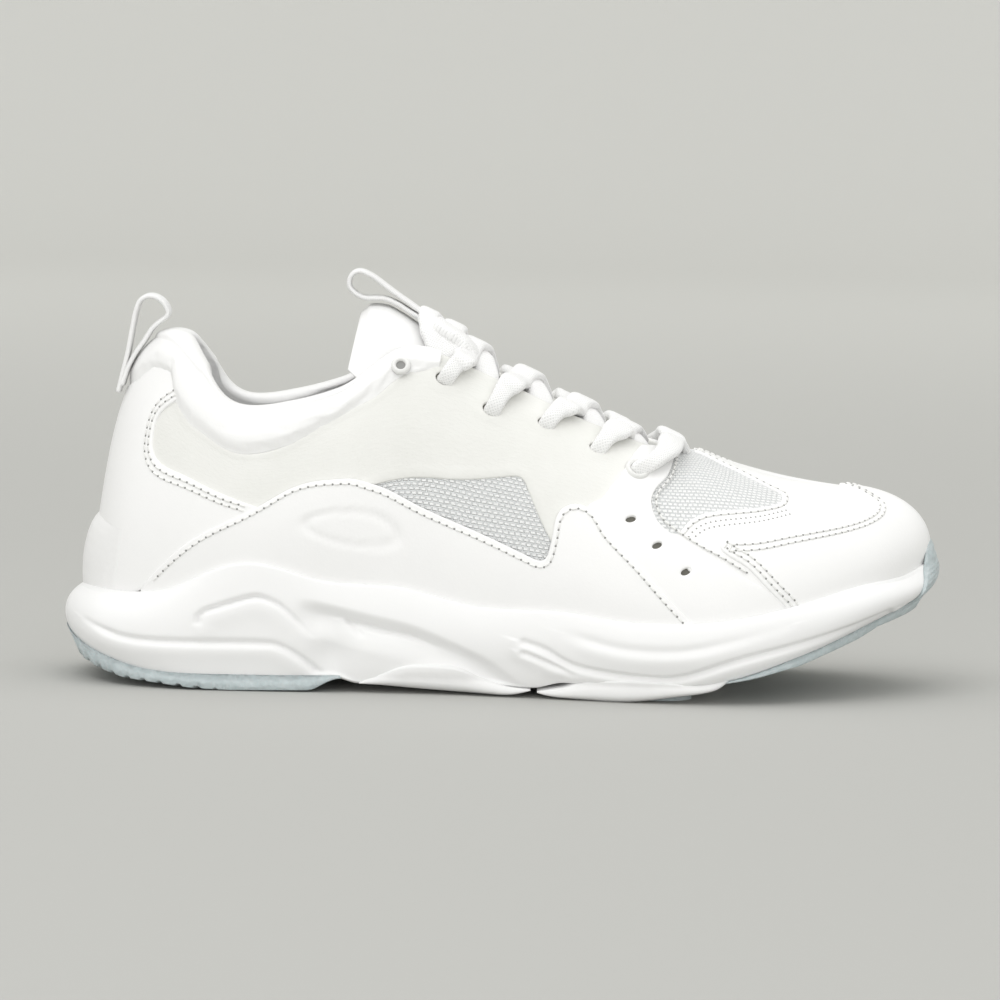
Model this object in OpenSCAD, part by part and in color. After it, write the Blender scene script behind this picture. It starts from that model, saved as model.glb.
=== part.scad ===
// Low-cut training and cheer shoe: sole unit, layered upper, padded collar and tongue, lace and pull loops.
// Length runs along X with the toe at +X, the outer (lateral) side faces -Y, and the ground is Z = 0.
// The origin is the centre of the heel tread's flat contact face.

/* [Size] */
// overall length over the sole
shoe_length = 285; // [240:5:310]

/* [Upper] */
// thickness of the stitched-on synthetic panels
overlay_thickness = 1.0; // [0.6:0.1:1.0]
// thickness of the knit mesh and of the smooth side film
mesh_thickness = 0.8; // [0.5:0.1:0.8]
// thickness of the textile lining
lining_thickness = 0.8; // [0.5:0.1:0.8]
// thickness of the heel counter and the toe puff between the outer layers and the lining
stiffener_thickness = 0.9; // [0.5:0.1:0.9]
// thickness of the collar padding at the heel and ankle
collar_pad = 8; // [6:0.5:9]

/* [Tongue and lace] */
// thickness of the tongue at its padded middle
tongue_thickness = 6; // [4:0.5:7]
// width of the flat lace
lace_width = 6.4; // [5:0.2:6.6]
// thickness of the flat lace
lace_thickness = 2.2; // [1.6:0.1:2.2]
// bore of each lace hole
lace_hole = 5.0; // [4.8:0.1:5.2]
// outside diameter of an eyelet ring
eyelet_size = 8.0; // [7:0.2:8.4]

/* [Pull loops] */
// width of the webbing of the heel loop
heel_loop_width = 11; // [8:0.5:12]
// width of the webbing of the tongue loop
tongue_loop_width = 10; // [8:0.5:12]
// thickness of the webbing
webbing = 1.5; // [1.2:0.1:1.6]

/* [Sole] */
// thickness of the removable sockliner
sockliner_thickness = 4; // [3:0.5:5]
// height of the flat tread blocks under the heel and forefoot
tread_height = 1.2; // [0.8:0.1:1.4]

/* [Hidden] */
design_length = 285;
size_factor = shoe_length / design_length;
heel_to_origin = 66;
count = 26;
gap = 0.05;
overlay_out = 0.3;
mesh_out = overlay_out - overlay_thickness - gap;
stiff_out = overlay_out - 1.0 - 0.8 - 2 * gap;
lining_out = stiff_out - 0.9 - gap;
lining_in = lining_out - lining_thickness;
// extra room between layers where the toe and heel curve most
round_gap = 0.15;
cup_clear = overlay_out + gap;
sole_gap = 0.25;

// Cross-section stations round the upper, from the toe tip along the lateral side to the heel and back
// along the medial side. Each holds four control points from the feather edge to the top line.
stations = [
  [[276, 8, 32.5], [289, 8, 50], [276, 6.5, 70], [238, 4.5, 65]],
  [[267, -10, 31.5], [281, -15, 49], [261, -4, 69], [230, 4, 67.5]],
  [[253, -25.5, 28], [264, -33, 47], [243, -15, 69], [221, 3.5, 70.8]],
  [[234.5, -38.5, 23], [240, -46, 46], [220, -21, 73.5], [212, 3, 74]],
  [[211, -46, 19.5], [212, -53, 44], [204, -26, 77], [203, 1, 77.6]],
  [[185, -45.5, 19.5], [185, -52.5, 46], [188, -31, 78], [192, -10, 78.5]],
  [[160, -41.5, 20.5], [160, -48.5, 51], [163, -33, 84], [168, -16, 87.5]],
  [[135, -37, 22.5], [135, -43.5, 54], [138, -32, 89], [141, -18, 99.5]],
  [[110, -34, 25], [110, -40, 58], [111, -33, 92], [112, -20, 109]],
  [[85, -33.5, 27], [85, -39.5, 53], [86, -35, 80], [87, -26.5, 94]],
  [[60, -33.5, 27], [60, -39.5, 49], [59.5, -35, 72], [58, -27.5, 87.5]],
  [[35, -30.5, 25], [35, -36, 50], [39, -30, 82], [45, -23.5, 99.5]],
  [[15, -19.5, 24], [17.5, -24, 53], [23, -18, 88], [35, -13, 108.5]],
  [[7, 0, 24.5], [12, 0, 58], [13, 0, 92], [28.5, 0, 109.5]],
  [[15, 19, 24], [17.5, 24, 53], [23, 18, 88], [35, 13, 108.5]],
  [[35, 30, 25], [35, 36, 50], [39, 30, 82], [45, 23.5, 99.5]],
  [[60, 32.5, 27], [60, 38, 49], [59.5, 34.5, 72], [58, 27.5, 88]],
  [[85, 31.5, 28], [85, 37, 54], [86, 34, 81], [87, 26.5, 94.5]],
  [[110, 30, 28], [110, 35.5, 60], [111, 31, 93], [112, 20, 109]],
  [[135, 29.5, 27], [135, 35.5, 58], [138, 30, 90], [141, 18, 99.5]],
  [[160, 32.5, 24], [160, 39.5, 54], [163, 32, 84], [168, 16, 87.5]],
  [[185, 38, 20.5], [185, 46, 47], [188, 31, 78], [192, 10, 78.5]],
  [[211, 42, 19.5], [212, 50, 44], [205, 28, 76.6], [203, 1, 77.6]],
  [[234.5, 40.5, 23], [240, 49, 46], [221, 26, 73], [212, 3, 74]],
  [[253, 34, 28], [264, 41.5, 47], [243, 24, 69], [221, 3.5, 70.8]],
  [[267, 23, 31.5], [281, 28, 49], [261, 15, 69], [230, 4, 67.5]]];

// Widest outline of the sole at each station.
sole_outline = [[283, 9], [276.5, -12], [261, -31], [239, -43.5], [212, -51], [185, -50.2],
  [160, -45.8], [135, -41.5], [110, -39.3], [85, -38.5], [60, -38.8], [32, -37], [10, -26.5], [0, 0],
  [10, 26], [32, 36], [60, 38], [85, 36.4], [110, 34.8], [135, 34], [160, 37], [185, 43], [212, 48.5],
  [239, 47.6], [261, 41.5], [276.5, 29]];
// Lower edge of the midsole at each station.
sole_edge = [[277, 9, 31], [269.5, -8, 28], [255, -26, 22.5], [236, -40, 15], [212, -47, 7],
  [185, -46, 5.2], [160, -41.5, 5.2], [135, -37.5, 5.2], [110, -36, 5.2], [85, -35.5, 4.6],
  [60, -36, 4.2], [35, -34.5, 4.8], [13, -23, 7.6], [4, 0, 12.5], [13, 23, 7.6], [35, 33.5, 4.8],
  [60, 35, 4.2], [85, 33, 4.6], [110, 31.5, 5.2], [135, 31, 5.2], [160, 33, 5.2], [185, 39, 5.2],
  [212, 44, 7], [236, 43.5, 15], [255, 37, 22.5], [269.5, 25, 28]];
// How far up the upper the midsole lip reaches at each station, as a share of the section.
lip_share = [0.19, 0.135, 0.148, 0.115, 0.088, 0.07, 0.078, 0.06, 0.085, 0.105, 0.205, 0.08, 0.058,
  0.045, 0.058, 0.08, 0.195, 0.103, 0.062, 0.045, 0.045, 0.062, 0.088, 0.115, 0.148, 0.132];

// ---- curves and the upper's surface ----
function wrap(k) = ((k % count) + count) % count;
function curve(a, b, c, d, f) =
  0.5 * (2 * b + (c - a) * f + (2 * a - 5 * b + 4 * c - d) * f * f + (3 * b - a - 3 * c + d) * f * f * f);
// value of a station list at a fractional station
function along(list, u) = let (i = floor(u))
  curve(list[wrap(i - 1)], list[wrap(i)], list[wrap(i + 1)], list[wrap(i + 2)], u - i);
function blend_stations(u) = along(stations, u);
function bezier(p, t) = let (s = 1 - t)
  s * s * s * p[0] + 3 * t * s * s * p[1] + 3 * t * t * s * p[2] + t * t * t * p[3];
function bezier_slope(p, t) = let (s = 1 - t)
  3 * s * s * (p[1] - p[0]) + 6 * s * t * (p[2] - p[1]) + 3 * t * t * (p[3] - p[2]);
function skin(u, t) = bezier(blend_stations(u), t);
function outward(u, t) = let (e = 0.02,
  a = bezier(blend_stations(u + e), t) - bezier(blend_stations(u - e), t),
  c = cross(bezier_slope(blend_stations(u), t), a)) c / norm(c);
// point of the upper at station u, height share t, lying d outside the surface
function raw_at(u, t, d) = skin(u, t) + d * outward(u, t);
// the toe box closes along its ridge, where both sides share their points
function at(u, t, d) = let (v = u > 13 ? u - count : u)
  (t > 0.999 && abs(v) < 4.001) ? (raw_at(v, 1, d) + raw_at(-v, 1, d)) / 2 : raw_at(u, t, d);
// point on an open line of points at share s of its pieces
function on_line(line, s) = let (n = len(line) - 1, i = min(floor(s * n), n - 1), f = s * n - i)
  line[i] * (1 - f) + line[i + 1] * f;
function mix(a, b, f) = a * (1 - f) + b * f;
function other_side(line) = [for (p = line) [count - p[0], p[1]]];

// ---- solids between matching grids of points ----
// rows run along the part, columns across it; welded rows share their last column with another row
function quad(a, b, c, d) = [[a, b, c], [a, c, d]];
function total(v) = v * [for (i = v) 1];
// polyhedron whose faces are turned the right way round
module faceted(points, faces) {
  swept = total([for (f = faces) cross(points[f[1]], points[f[2]]) * points[f[0]]]);
  polyhedron(points = points, faces = swept > 0 ? [for (f = faces) [f[0], f[2], f[1]]] : faces, convexity = 8);
}
module plate(top, under, welded = []) {
  n = len(top); m = len(top[0]); o = n * m;
  joined = len(welded) ? welded : [for (i = [0:n - 2]) false];
  faceted(concat([for (r = top) each r], [for (r = under) each r]),
    concat(
      [for (i = [0:n - 2], j = [0:m - 2])
        each quad(i * m + j, i * m + j + 1, (i + 1) * m + j + 1, (i + 1) * m + j)],
      [for (i = [0:n - 2], j = [0:m - 2])
        each quad(o + i * m + j, o + (i + 1) * m + j, o + (i + 1) * m + j + 1, o + i * m + j + 1)],
      [for (i = [0:n - 2]) each quad(i * m, (i + 1) * m, o + (i + 1) * m, o + i * m)],
      [for (i = [0:n - 2]) if (!joined[i])
        each quad(i * m + m - 1, o + i * m + m - 1, o + (i + 1) * m + m - 1, (i + 1) * m + m - 1)],
      [for (j = [0:m - 2]) each quad(j, o + j, o + j + 1, j + 1)],
      [for (j = [0:m - 2]) each quad((n - 1) * m + j, (n - 1) * m + j + 1, o + (n - 1) * m + j + 1,
        o + (n - 1) * m + j)]));
}
// tube through closed section rings, capped at both ends
module tube(rings) {
  n = len(rings); m = len(rings[0]);
  faceted([for (r = rings) each r],
    concat(
      [for (i = [0:n - 2], j = [0:m - 1]) let (k = (j + 1) % m)
        each quad(i * m + j, i * m + k, (i + 1) * m + k, (i + 1) * m + j)],
      [for (j = [1:m - 2]) [0, j + 1, j]],
      [for (j = [1:m - 2]) [(n - 1) * m, (n - 1) * m + j, (n - 1) * m + j + 1]]));
}
// ring of sections that closes on itself; each section's two ends lie on the shared middle line
module hoop(rings) {
  n = len(rings); m = len(rings[0]);
  faceted([for (r = rings) each r], [for (i = [0:n - 1], j = [0:m - 2]) let (k = (i + 1) % n)
    each quad(i * m + j, i * m + j + 1, k * m + j + 1, k * m + j)]);
}
// panel of the upper between two lines of [station, share] points
module panel(lower, upper, outer, inner, rows, columns) {
  spots = [for (i = [0:rows]) [for (j = [0:columns])
    mix(on_line(lower, i / rows), on_line(upper, i / rows), j / columns)]];
  plate([for (r = spots) [for (p = r) at(p[0], p[1], outer)]],
    [for (r = spots) [for (p = r) at(p[0], p[1], inner)]]);
}
// cap of the toe box between an edge share per station and the ridge
module toe_cap(stops, edge, outer, inner, columns, reach = 4) {
  ends = concat([for (k = [len(stops) - 1:-1:1]) stops[k]], [for (s = stops) -s]);
  low = [for (u = ends) lookup(abs(u), edge)];
  weld = [for (i = [0:len(ends) - 2]) abs(ends[i]) <= reach && abs(ends[i + 1]) <= reach];
  plate([for (i = [0:len(ends) - 1]) [for (j = [0:columns])
      at(ends[i], mix(low[i], 1, j / columns), outer)]],
    [for (i = [0:len(ends) - 1]) [for (j = [0:columns])
      at(ends[i], mix(low[i], 1, j / columns), inner)]], weld);
}
// a side panel, laid on the medial side by counting stations the other way
module side_panel(lower, upper, outer, inner, rows, columns, medial) {
  if (medial) panel(other_side(upper), other_side(lower), outer, inner, rows, columns);
  else panel(lower, upper, outer, inner, rows, columns);
}
module placed() scale(size_factor) translate([-heel_to_origin, 0, 0]) children();

// ---- sole unit ----
// The middle line runs between a station near the toe and one near the heel.
spine_front = 1.8;
spine_back = 11.6;
function middle(u) = let (v = u < 0 ? u + count : u, w = v > 13 ? count - v : v) max(spine_front, min(spine_back, w));
function spine(u, list) = let (v = middle(u)) (along(list, v) + along(list, count - v)) / 2;
// footbed point: w runs from the edge of the footbed (0) to its middle line (1)
function footbed(u, w, d, lift) = let (v = middle(u))
  mix(at(u, 0, d), (at(v, 0, d) + at(count - v, 0, d)) / 2, w) + [0, 0, lift];
function underside(u, w, lift) = mix(along(sole_edge, u), spine(u, sole_edge), w) + [0, 0, lift];
function lip(u) = at(u, along(lip_share, u), cup_clear + 1.9);
function sole_wall(u) = let (edge = along(sole_edge, u), wide = along(sole_outline, u), top = lip(u),
    rise = top[2] - edge[2],
    push = [(8 * wide[0] - edge[0] - top[0]) / 6, (8 * wide[1] - edge[1] - top[1]) / 6])
  [edge, [push[0], push[1], edge[2] + 0.3 * rise], [push[0], push[1], edge[2] + 0.75 * rise], top];
module midsole() color([0.96, 0.96, 0.95]) placed() {
  steps = 96;
  hoop([for (i = [0:steps - 1]) let (u = i * count / steps, share = along(lip_share, u), wall = sole_wall(u))
    concat([underside(u, 1, 0), underside(u, 0.5, 0)], [for (j = [0:5]) bezier(wall, j / 5)],
      [at(u, share, cup_clear), at(u, share / 2, cup_clear)],
      [for (w = [0, 0.5, 1]) footbed(u, w, cup_clear, -0.3)])]);
}
// slab that turns round one end of the sole, its middle line shared by both sides
module slab_around(us, depth) {
  plate([for (u = us) [for (w = [0.03, 0.3, 0.65, 1]) underside(u, w, -sole_gap)]],
    [for (u = us) [for (w = [0.03, 0.3, 0.65, 1]) let (p = underside(u, w, -sole_gap))
      [p[0], p[1], min(p[2] - 0.8, lookup(p[0], depth))]]], [for (i = [1:len(us) - 1]) true]);
}
module heel_outsole() color([0.62, 0.7, 0.69]) placed() {
  depth = [[4, 8.5], [10, 6.5], [18, 4.5], [30, 2.6], [42, 1.6], [92, 1.6], [100, 3]];
  slab_around([for (i = [0:20]) mix(8.75, 17.25, i / 20)], depth);
}
module toe_outsole() color([0.62, 0.7, 0.69]) placed() {
  depth = [[200, 5], [216, 5.2], [222, 8], [236, 11.5], [256, 18.5], [272, 24], [278, 26.5], [286, 29]];
  slab_around([for (i = [0:20]) mix(-3.95, 3.95, i / 20)], depth);
}
module toe_bumper() color([0.62, 0.7, 0.69]) placed() {
  us = [for (i = [0:14]) mix(-1.3, 1.5, i / 14)];
  spots = [for (u = us) let (wall = sole_wall(u)) [for (j = [0:5]) bezier(wall, mix(0.06, 0.98, j / 5))]];
  away = [for (r = spots) let (d = [r[3][0] - 250, r[3][1] - 8, 0]) d / norm(d)];
  plate([for (i = [0:14]) [for (p = spots[i]) p + 1.6 * away[i]]],
    [for (i = [0:14]) [for (p = spots[i]) p + 0.15 * away[i]]]);
}
module heel_tread() color([0.55, 0.62, 0.61]) placed() translate([heel_to_origin, 0, 0])
  linear_extrude(height = tread_height) offset(r = 10, $fn = 32) square([32, 42], center = true);
module forefoot_tread() color([0.55, 0.62, 0.61]) placed() translate([184, -2, 0])
  linear_extrude(height = tread_height) offset(r = 8, $fn = 32) square([22, 58], center = true);
module pod(x0, x1, y0, y1, top, crown) {
  rows = 8; columns = 6;
  plate([for (i = [0:rows]) [for (j = [0:columns]) let (a = i / rows, b = j / columns)
      [mix(x0, x1, a), mix(y0, y1, b), top]]],
    [for (i = [0:rows]) [for (j = [0:columns]) let (a = i / rows, b = j / columns,
        rise = pow(abs(2 * a - 1), 4) + pow(abs(2 * b - 1), 6))
      [mix(x0, x1, a), mix(y0, y1, b), min(top - 0.4, crown + (top - crown) * 0.5 * rise)]]]);
}
module midfoot_pod() color([0.95, 0.95, 0.94]) placed() pod(104, 146, -33, 28, 4.8, 1.2);
module forefoot_pod() color([0.95, 0.95, 0.94]) placed() pod(158, 206, -39, 33, 4.8, tread_height + gap);
module heel_cup() color([0.93, 0.94, 0.93]) placed() {
  bulge = [[0, 0.6], [0.05, 2.0], [0.1, 2.8], [0.15, 2.8], [0.2, 2.2], [0.25, 1.2], [0.28, 0.6]];
  us = [for (i = [0:14]) mix(11.9, 14.1, i / 14)];
  ts = [for (j = [0:7]) mix(0.07, 0.27, j / 7)];
  plate([for (u = us) [for (t = ts)
      at(u, t, overlay_out + gap + lookup(t, bulge) * (1 - 0.75 * pow(abs(u - 13) / 1.1, 3)))]],
    [for (u = us) [for (t = ts) at(u, t, overlay_out + gap)]]);
}

// ---- inside of the shoe ----
module ring_board(inset, low, high, ws) {
  hoop([for (i = [0:51]) let (u = i / 2) concat([for (k = [len(ws) - 1:-1:0]) footbed(u, ws[k], inset, low)],
    [for (w = ws) footbed(u, w, inset, high)])]);
}
board_low = -0.2;
board_top = 1.0;
module strobel_board() color([0.85, 0.84, 0.8]) placed()
  ring_board(lining_in - 0.2, board_low, board_top, [0, 0.4, 1]);
function across(u, s, lift) = s <= 1 ? footbed(u, s, lining_in, lift) : footbed(count - u, 2 - s, lining_in, lift);
module shank() color([0.35, 0.35, 0.36]) placed() {
  us = [for (i = [0:10]) mix(6.6, 10.4, i / 10)];
  ss = [1.38, 1.2, 1, 0.8, 0.62];
  plate([for (u = us) [for (s = ss) across(u, s, board_top + 0.7)]],
    [for (u = us) [for (s = ss) across(u, s, board_top + 0.1)]]);
}
module sockliner() color([0.8, 0.82, 0.83]) placed()
  ring_board(lining_in - 0.8, board_top + 0.8, board_top + 0.8 + sockliner_thickness, [0, 0.25, 0.6, 1]);
module toe_puff() color([0.88, 0.86, 0.8]) placed()
  panel([for (u = [-2.5:0.5:2.5]) [u, 0.06]], [for (u = [-2.5:0.5:2.5]) [u, 0.5 + 0.02 * u * u]],
    stiff_out - round_gap, stiff_out - stiffener_thickness + 0.05, 20, 6);
module heel_counter() color([0.88, 0.86, 0.8]) placed()
  panel([for (u = [9.6:0.68:16.4]) [u, 0.02]], [for (u = [9.6:0.68:16.4]) [u, 0.6 - 0.02 * pow(u - 13, 2)]],
    stiff_out, stiff_out - stiffener_thickness + round_gap, 34, 6);
toe_stops = [0, 0.25, 0.5, 0.75, 1, 1.25, 1.5, 1.75, 2, 2.3, 2.6, 3, 3.5, 4];
module vamp_lining() color([0.9, 0.9, 0.89]) placed()
  toe_cap(concat(toe_stops, [4.35, 4.7]), [[0, 0], [4.7, 0]], lining_out - round_gap, lining_in, 9);
quarter_top = [[4.74, 0.62], [5.5, 0.64], [6.5, 0.7], [7.5, 0.75], [8.1, 0.75], [9, 0.68], [10, 0.62], [11, 0.66]];
quarter_base = [for (p = quarter_top) [p[0], 0]];
module side_lining(medial) color([0.9, 0.9, 0.89]) placed()
  side_panel(quarter_base, quarter_top, lining_out, lining_in, 17, 6, medial);
module quarter_lining_lateral() side_lining(false);
module quarter_lining_medial() side_lining(true);
module heel_lining() color([0.9, 0.9, 0.89]) placed()
  panel([for (u = [11.04:0.49:14.96]) [u, 0]], [for (u = [11.04:0.49:14.96]) [u, 0.74 - 0.02 * pow(u - 13, 2)]],
    lining_out - round_gap, lining_in, 24, 7);

// ---- outer panels of the upper ----
toe_edge = [[0, 0.87], [0.3, 0.86], [0.5, 0.82], [0.7, 0.72], [0.85, 0.62], [1.1, 0.56], [1.55, 0.52],
  [2.1, 0.49], [2.75, 0.45], [3.35, 0.42], [3.85, 0.4], [3.95, 0.36], [4.6, 0.36]];
strap_front = [[3.3, 0.01], [3.35, 0.09], [3.56, 0.21], [3.76, 0.29], [3.91, 0.31], [4.23, 0.37], [4.63, 0.44],
  [4.84, 0.49], [4.95, 0.57], [4.9, 0.64], [4.72, 0.74], [4.62, 0.86], [4.6, 0.98]];
strap_back = [[4.22, 0.01], [4.28, 0.07], [4.6, 0.17], [4.8, 0.23], [4.99, 0.29], [5.24, 0.36], [5.5, 0.41],
  [5.62, 0.46], [5.6, 0.52], [5.52, 0.6], [5.39, 0.7], [5.3, 0.85], [5.28, 0.98]];
overlay_top = [[11.5, 0.01], [11.28, 0.12], [10.5, 0.35], [9.78, 0.49], [9.33, 0.55], [8.78, 0.52], [8.38, 0.45],
  [7.81, 0.36], [7.05, 0.31], [6.41, 0.26], [6.21, 0.27], [6.16, 0.32], [6.13, 0.39], [6.02, 0.44],
  [5.86, 0.47], [5.68, 0.46], [5.53, 0.41], [5.27, 0.36], [5.02, 0.29], [4.64, 0.17], [4.31, 0.07], [4.25, 0.01]];
overlay_base = [for (i = [0:len(overlay_top) - 1]) [mix(11.5, 4.25, i / (len(overlay_top) - 1)), 0.01]];
window_top = [[8.3, 0.47], [8.07, 0.48], [7.46, 0.49], [7, 0.52], [6.63, 0.55], [6.52, 0.5], [6.35, 0.42], [6.24, 0.36]];
window_base = [[8.3, 0.445], [7.81, 0.375], [7.4, 0.34], [7.05, 0.325], [6.7, 0.3], [6.5, 0.28], [6.35, 0.275], [6.24, 0.29]];
film_top = [[11.4, 0.76], [10.98, 0.755], [10.48, 0.77], [10.05, 0.765], [9.76, 0.765], [9.45, 0.78],
  [9.12, 0.81], [8.77, 0.84], [8.3, 0.82], [8, 0.8], [7.5, 0.76], [6.5, 0.7], [5.9, 0.67], [5.45, 0.65]];
film_base = [[11.6, 0.64], [11.26, 0.56], [10.65, 0.55], [10.14, 0.54], [9.6, 0.555], [9.33, 0.57],
  [9.0, 0.56], [8.7, 0.535], [8.35, 0.49], [7.9, 0.5], [7.46, 0.51], [6.6, 0.57], [6.1, 0.48], [5.7, 0.49]];
eyestay_base = [[4.72, 0.66], [5.5, 0.68], [6.5, 0.73], [7.5, 0.79], [8.2, 0.84]];
eyestay_edge = [[4.72, 0.985], [5.5, 0.985], [6.5, 0.985], [7.5, 0.985], [8.2, 0.985]];
heel_line = [[11.6, 0.01], [11.4, 0.13], [10.6, 0.37], [10.0, 0.485], [10.2, 0.52], [10.65, 0.54], [11.26, 0.55],
  [11.54, 0.58], [11.64, 0.64], [11.63, 0.72], [11.45, 0.78]];
heel_middle = [[13, 0.01], [13, 0.13], [13, 0.33], [13, 0.43], [13, 0.5], [13, 0.54], [13, 0.57],
  [13, 0.61], [13, 0.66], [13, 0.72], [13, 0.77]];
holes = [[5.22, 0.76], [5.8, 0.79], [6.4, 0.82], [7, 0.85], [7.6, 0.88], [8.02, 0.92]];

module vamp_mesh() color([0.94, 0.95, 0.95]) placed()
  toe_cap(concat(toe_stops, [4.35, 4.68]), [[0, 0.3], [4.68, 0.3]], mesh_out - 2 * round_gap,
    mesh_out - mesh_thickness + 0.1, 8);

module quarter_mesh(medial) color([0.84, 0.85, 0.85]) placed()
  side_panel(window_base, window_top, mesh_out, mesh_out - mesh_thickness, 21, 4, medial);
module quarter_mesh_lateral() quarter_mesh(false);
module quarter_mesh_medial() quarter_mesh(true);
module side_film(medial) color([0.96, 0.95, 0.92]) placed()
  side_panel(film_base, film_top, mesh_out, mesh_out - mesh_thickness, 26, 5, medial);
module side_film_lateral() side_film(false);
module side_film_medial() side_film(true);
module quarter_overlay(medial) color([0.97, 0.97, 0.96]) placed()
  side_panel(overlay_base, overlay_top, overlay_out, overlay_out - overlay_thickness, 38, 5, medial);
module quarter_overlay_lateral() quarter_overlay(false);
module quarter_overlay_medial() quarter_overlay(true);
module strap_panel(medial) color([0.97, 0.97, 0.96]) placed() difference() {
  side_panel(strap_front, strap_back, overlay_out, overlay_out - overlay_thickness, 14, 3, medial);
  hole_drills(medial, [0], lace_hole / 2);
}
module strap_lateral() strap_panel(false);
module strap_medial() strap_panel(true);
module mudguard() color([0.97, 0.97, 0.96]) placed() {
  us = [-3.85, -3.35, -2.75, -2.1, -1.55, -1.1, -0.85, -0.7, -0.5, -0.3, 0, 0.3, 0.5, 0.7, 0.85, 1.1, 1.55,
    2.1, 2.75, 3.35, 3.85];
  tops = [for (u = us) lookup(abs(u), toe_edge)];
  foot = [for (u = us) abs(u) > 3.3 ? lookup(abs(u), [[3.3, 0.01], [3.35, 0.1], [3.85, 0.33]]) : 0.01];
  plate([for (i = [0:len(us) - 1]) [for (j = [0:7]) at(us[i], mix(foot[i], tops[i], j / 7), overlay_out)]],
    [for (i = [0:len(us) - 1]) [for (j = [0:7])
      at(us[i], mix(foot[i], tops[i], j / 7), overlay_out - overlay_thickness)]]);
}
module toe_overlay() color([0.97, 0.97, 0.96]) placed() {
  edge = [[0, 0.885], [0.3, 0.875], [0.5, 0.84], [0.7, 0.75], [0.85, 0.66], [1.1, 0.6], [1.55, 0.555],
    [2.1, 0.53], [2.35, 0.54], [2.5, 0.7], [2.7, 0.78], [3, 0.84], [3.5, 0.92], [4, 0.95]];
  toe_cap([0, 0.3, 0.5, 0.7, 0.85, 1.1, 1.55, 2.1, 2.35, 2.5, 2.7, 3, 3.5, 4], edge, overlay_out,
    overlay_out - overlay_thickness, 8);
}
module heel_overlay() color([0.97, 0.97, 0.96]) placed() {
  rows = 20; half = 6;
  plate([for (i = [0:rows]) [for (j = [-half:half]) heel_spot(i / rows, j / half, overlay_out)]],
    [for (i = [0:rows]) [for (j = [-half:half]) heel_spot(i / rows, j / half, overlay_out - overlay_thickness)]]);
}
function heel_spot(s, w, d) = let (p = mix(on_line(heel_middle, s), on_line(heel_line, s), abs(w)))
  at(w < 0 ? count - p[0] : p[0], p[1], d);

// ---- lace holes ----
function hole_point(i, medial, d) = let (u = holes[i][0]) at(medial ? count - u : u, holes[i][1], d);
function hole_axis(i, medial) = let (u = holes[i][0]) outward(medial ? count - u : u, holes[i][1]);
// turns Z onto the outward direction of a lace hole
module on_hole(i, medial, d) {
  n = hole_axis(i, medial);
  translate(hole_point(i, medial, d)) rotate([0, acos(n[2]), atan2(n[1], n[0])]) children();
}
module hole_drills(medial, which, radius)
  for (i = which) on_hole(i, medial, 0) cylinder(r = radius, h = 14, center = true, $fn = 24);
module eyestay(medial) color([0.96, 0.95, 0.92]) placed() difference() {
  side_panel(eyestay_base, eyestay_edge, mesh_out - round_gap, lining_in, 10, 3, medial);
  hole_drills(medial, [0:5], lace_hole / 2);
}
module eyestay_lateral() eyestay(false);
module eyestay_medial() eyestay(true);
module eyelets() color([0.93, 0.93, 0.92]) placed() for (side = [false, true], i = [0, 5])
  on_hole(i, side, i == 0 ? overlay_out + 0.25 : mesh_out + 0.25) rotate_extrude($fn = 32)
    translate([lace_hole / 2 - 0.2, 0]) square([(eyelet_size - lace_hole) / 2 + 0.2, 0.8]);

// ---- collar ----
collar_from = 8.5;
collar_to = 17.5;
function inward(u) = let (n = outward(u, 0.95)) [-n[0], -n[1], 0] / norm([n[0], n[1]]);
function collar_pad_at(u) = collar_pad * lookup(abs(u - 13), [[0, 1], [3.4, 1], [4.7, 0.5]]);
function cover_share(u) = lookup(13 - abs(u - 13), [[8.3, 0.86], [8.77, 0.855], [9.12, 0.825], [9.45, 0.795],
  [10.05, 0.78], [10.98, 0.775], [11.4, 0.785], [12, 0.8], [13, 0.785]]);
function foam_share(u) = lookup(13 - abs(u - 13), [[8.3, 0.8], [9, 0.73], [10, 0.67], [11, 0.71], [11.1, 0.74], [13, 0.77]]);
// section of the padding: inner foot, outer foot, outer side, over the roll and down the inside
function collar_section(u) = let (w = collar_pad_at(u), i = inward(u), t = cover_share(u), f = foam_share(u),
    rim = at(u, 1, -1))
  [at(u, f, lining_in + 0.2), at(u, f + 0.01, mesh_out - mesh_thickness - 0.3), at(u, max(t, f + 0.02), -1.5),
   at(u, (t + 1) / 2, -1.1), rim, rim + 0.16 * w * i + [0, 0, 1.6], rim + 0.5 * w * i + [0, 0, 2.4],
   rim + 0.84 * w * i + [0, 0, 1.2], rim + w * i - [0, 0, 1.8], mix(rim, at(u, f, lining_in), 0.55) + 0.9 * w * i];
function middle_of(r) = [for (k = [0:2]) total([for (p = r) p[k]]) / len(r)];
module collar_foam() color([0.9, 0.9, 0.86]) placed()
  tube([for (i = [0:36]) collar_section(mix(collar_from, collar_to, i / 36))]);
module collar_cover() color([0.96, 0.96, 0.95]) placed() {
  sections = [for (i = [0:36]) collar_section(mix(collar_from, collar_to, i / 36))];
  hubs = [for (r = sections) middle_of(r)];
  plate([for (i = [0:36]) grown(sections[i], hubs[i], 1.0)], [for (i = [0:36]) grown(sections[i], hubs[i], 0.15)]);
}
function grown(section, hub, by) = [for (k = [2:9]) let (d = section[k] - hub) section[k] + by * d / norm(d)];

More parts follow.
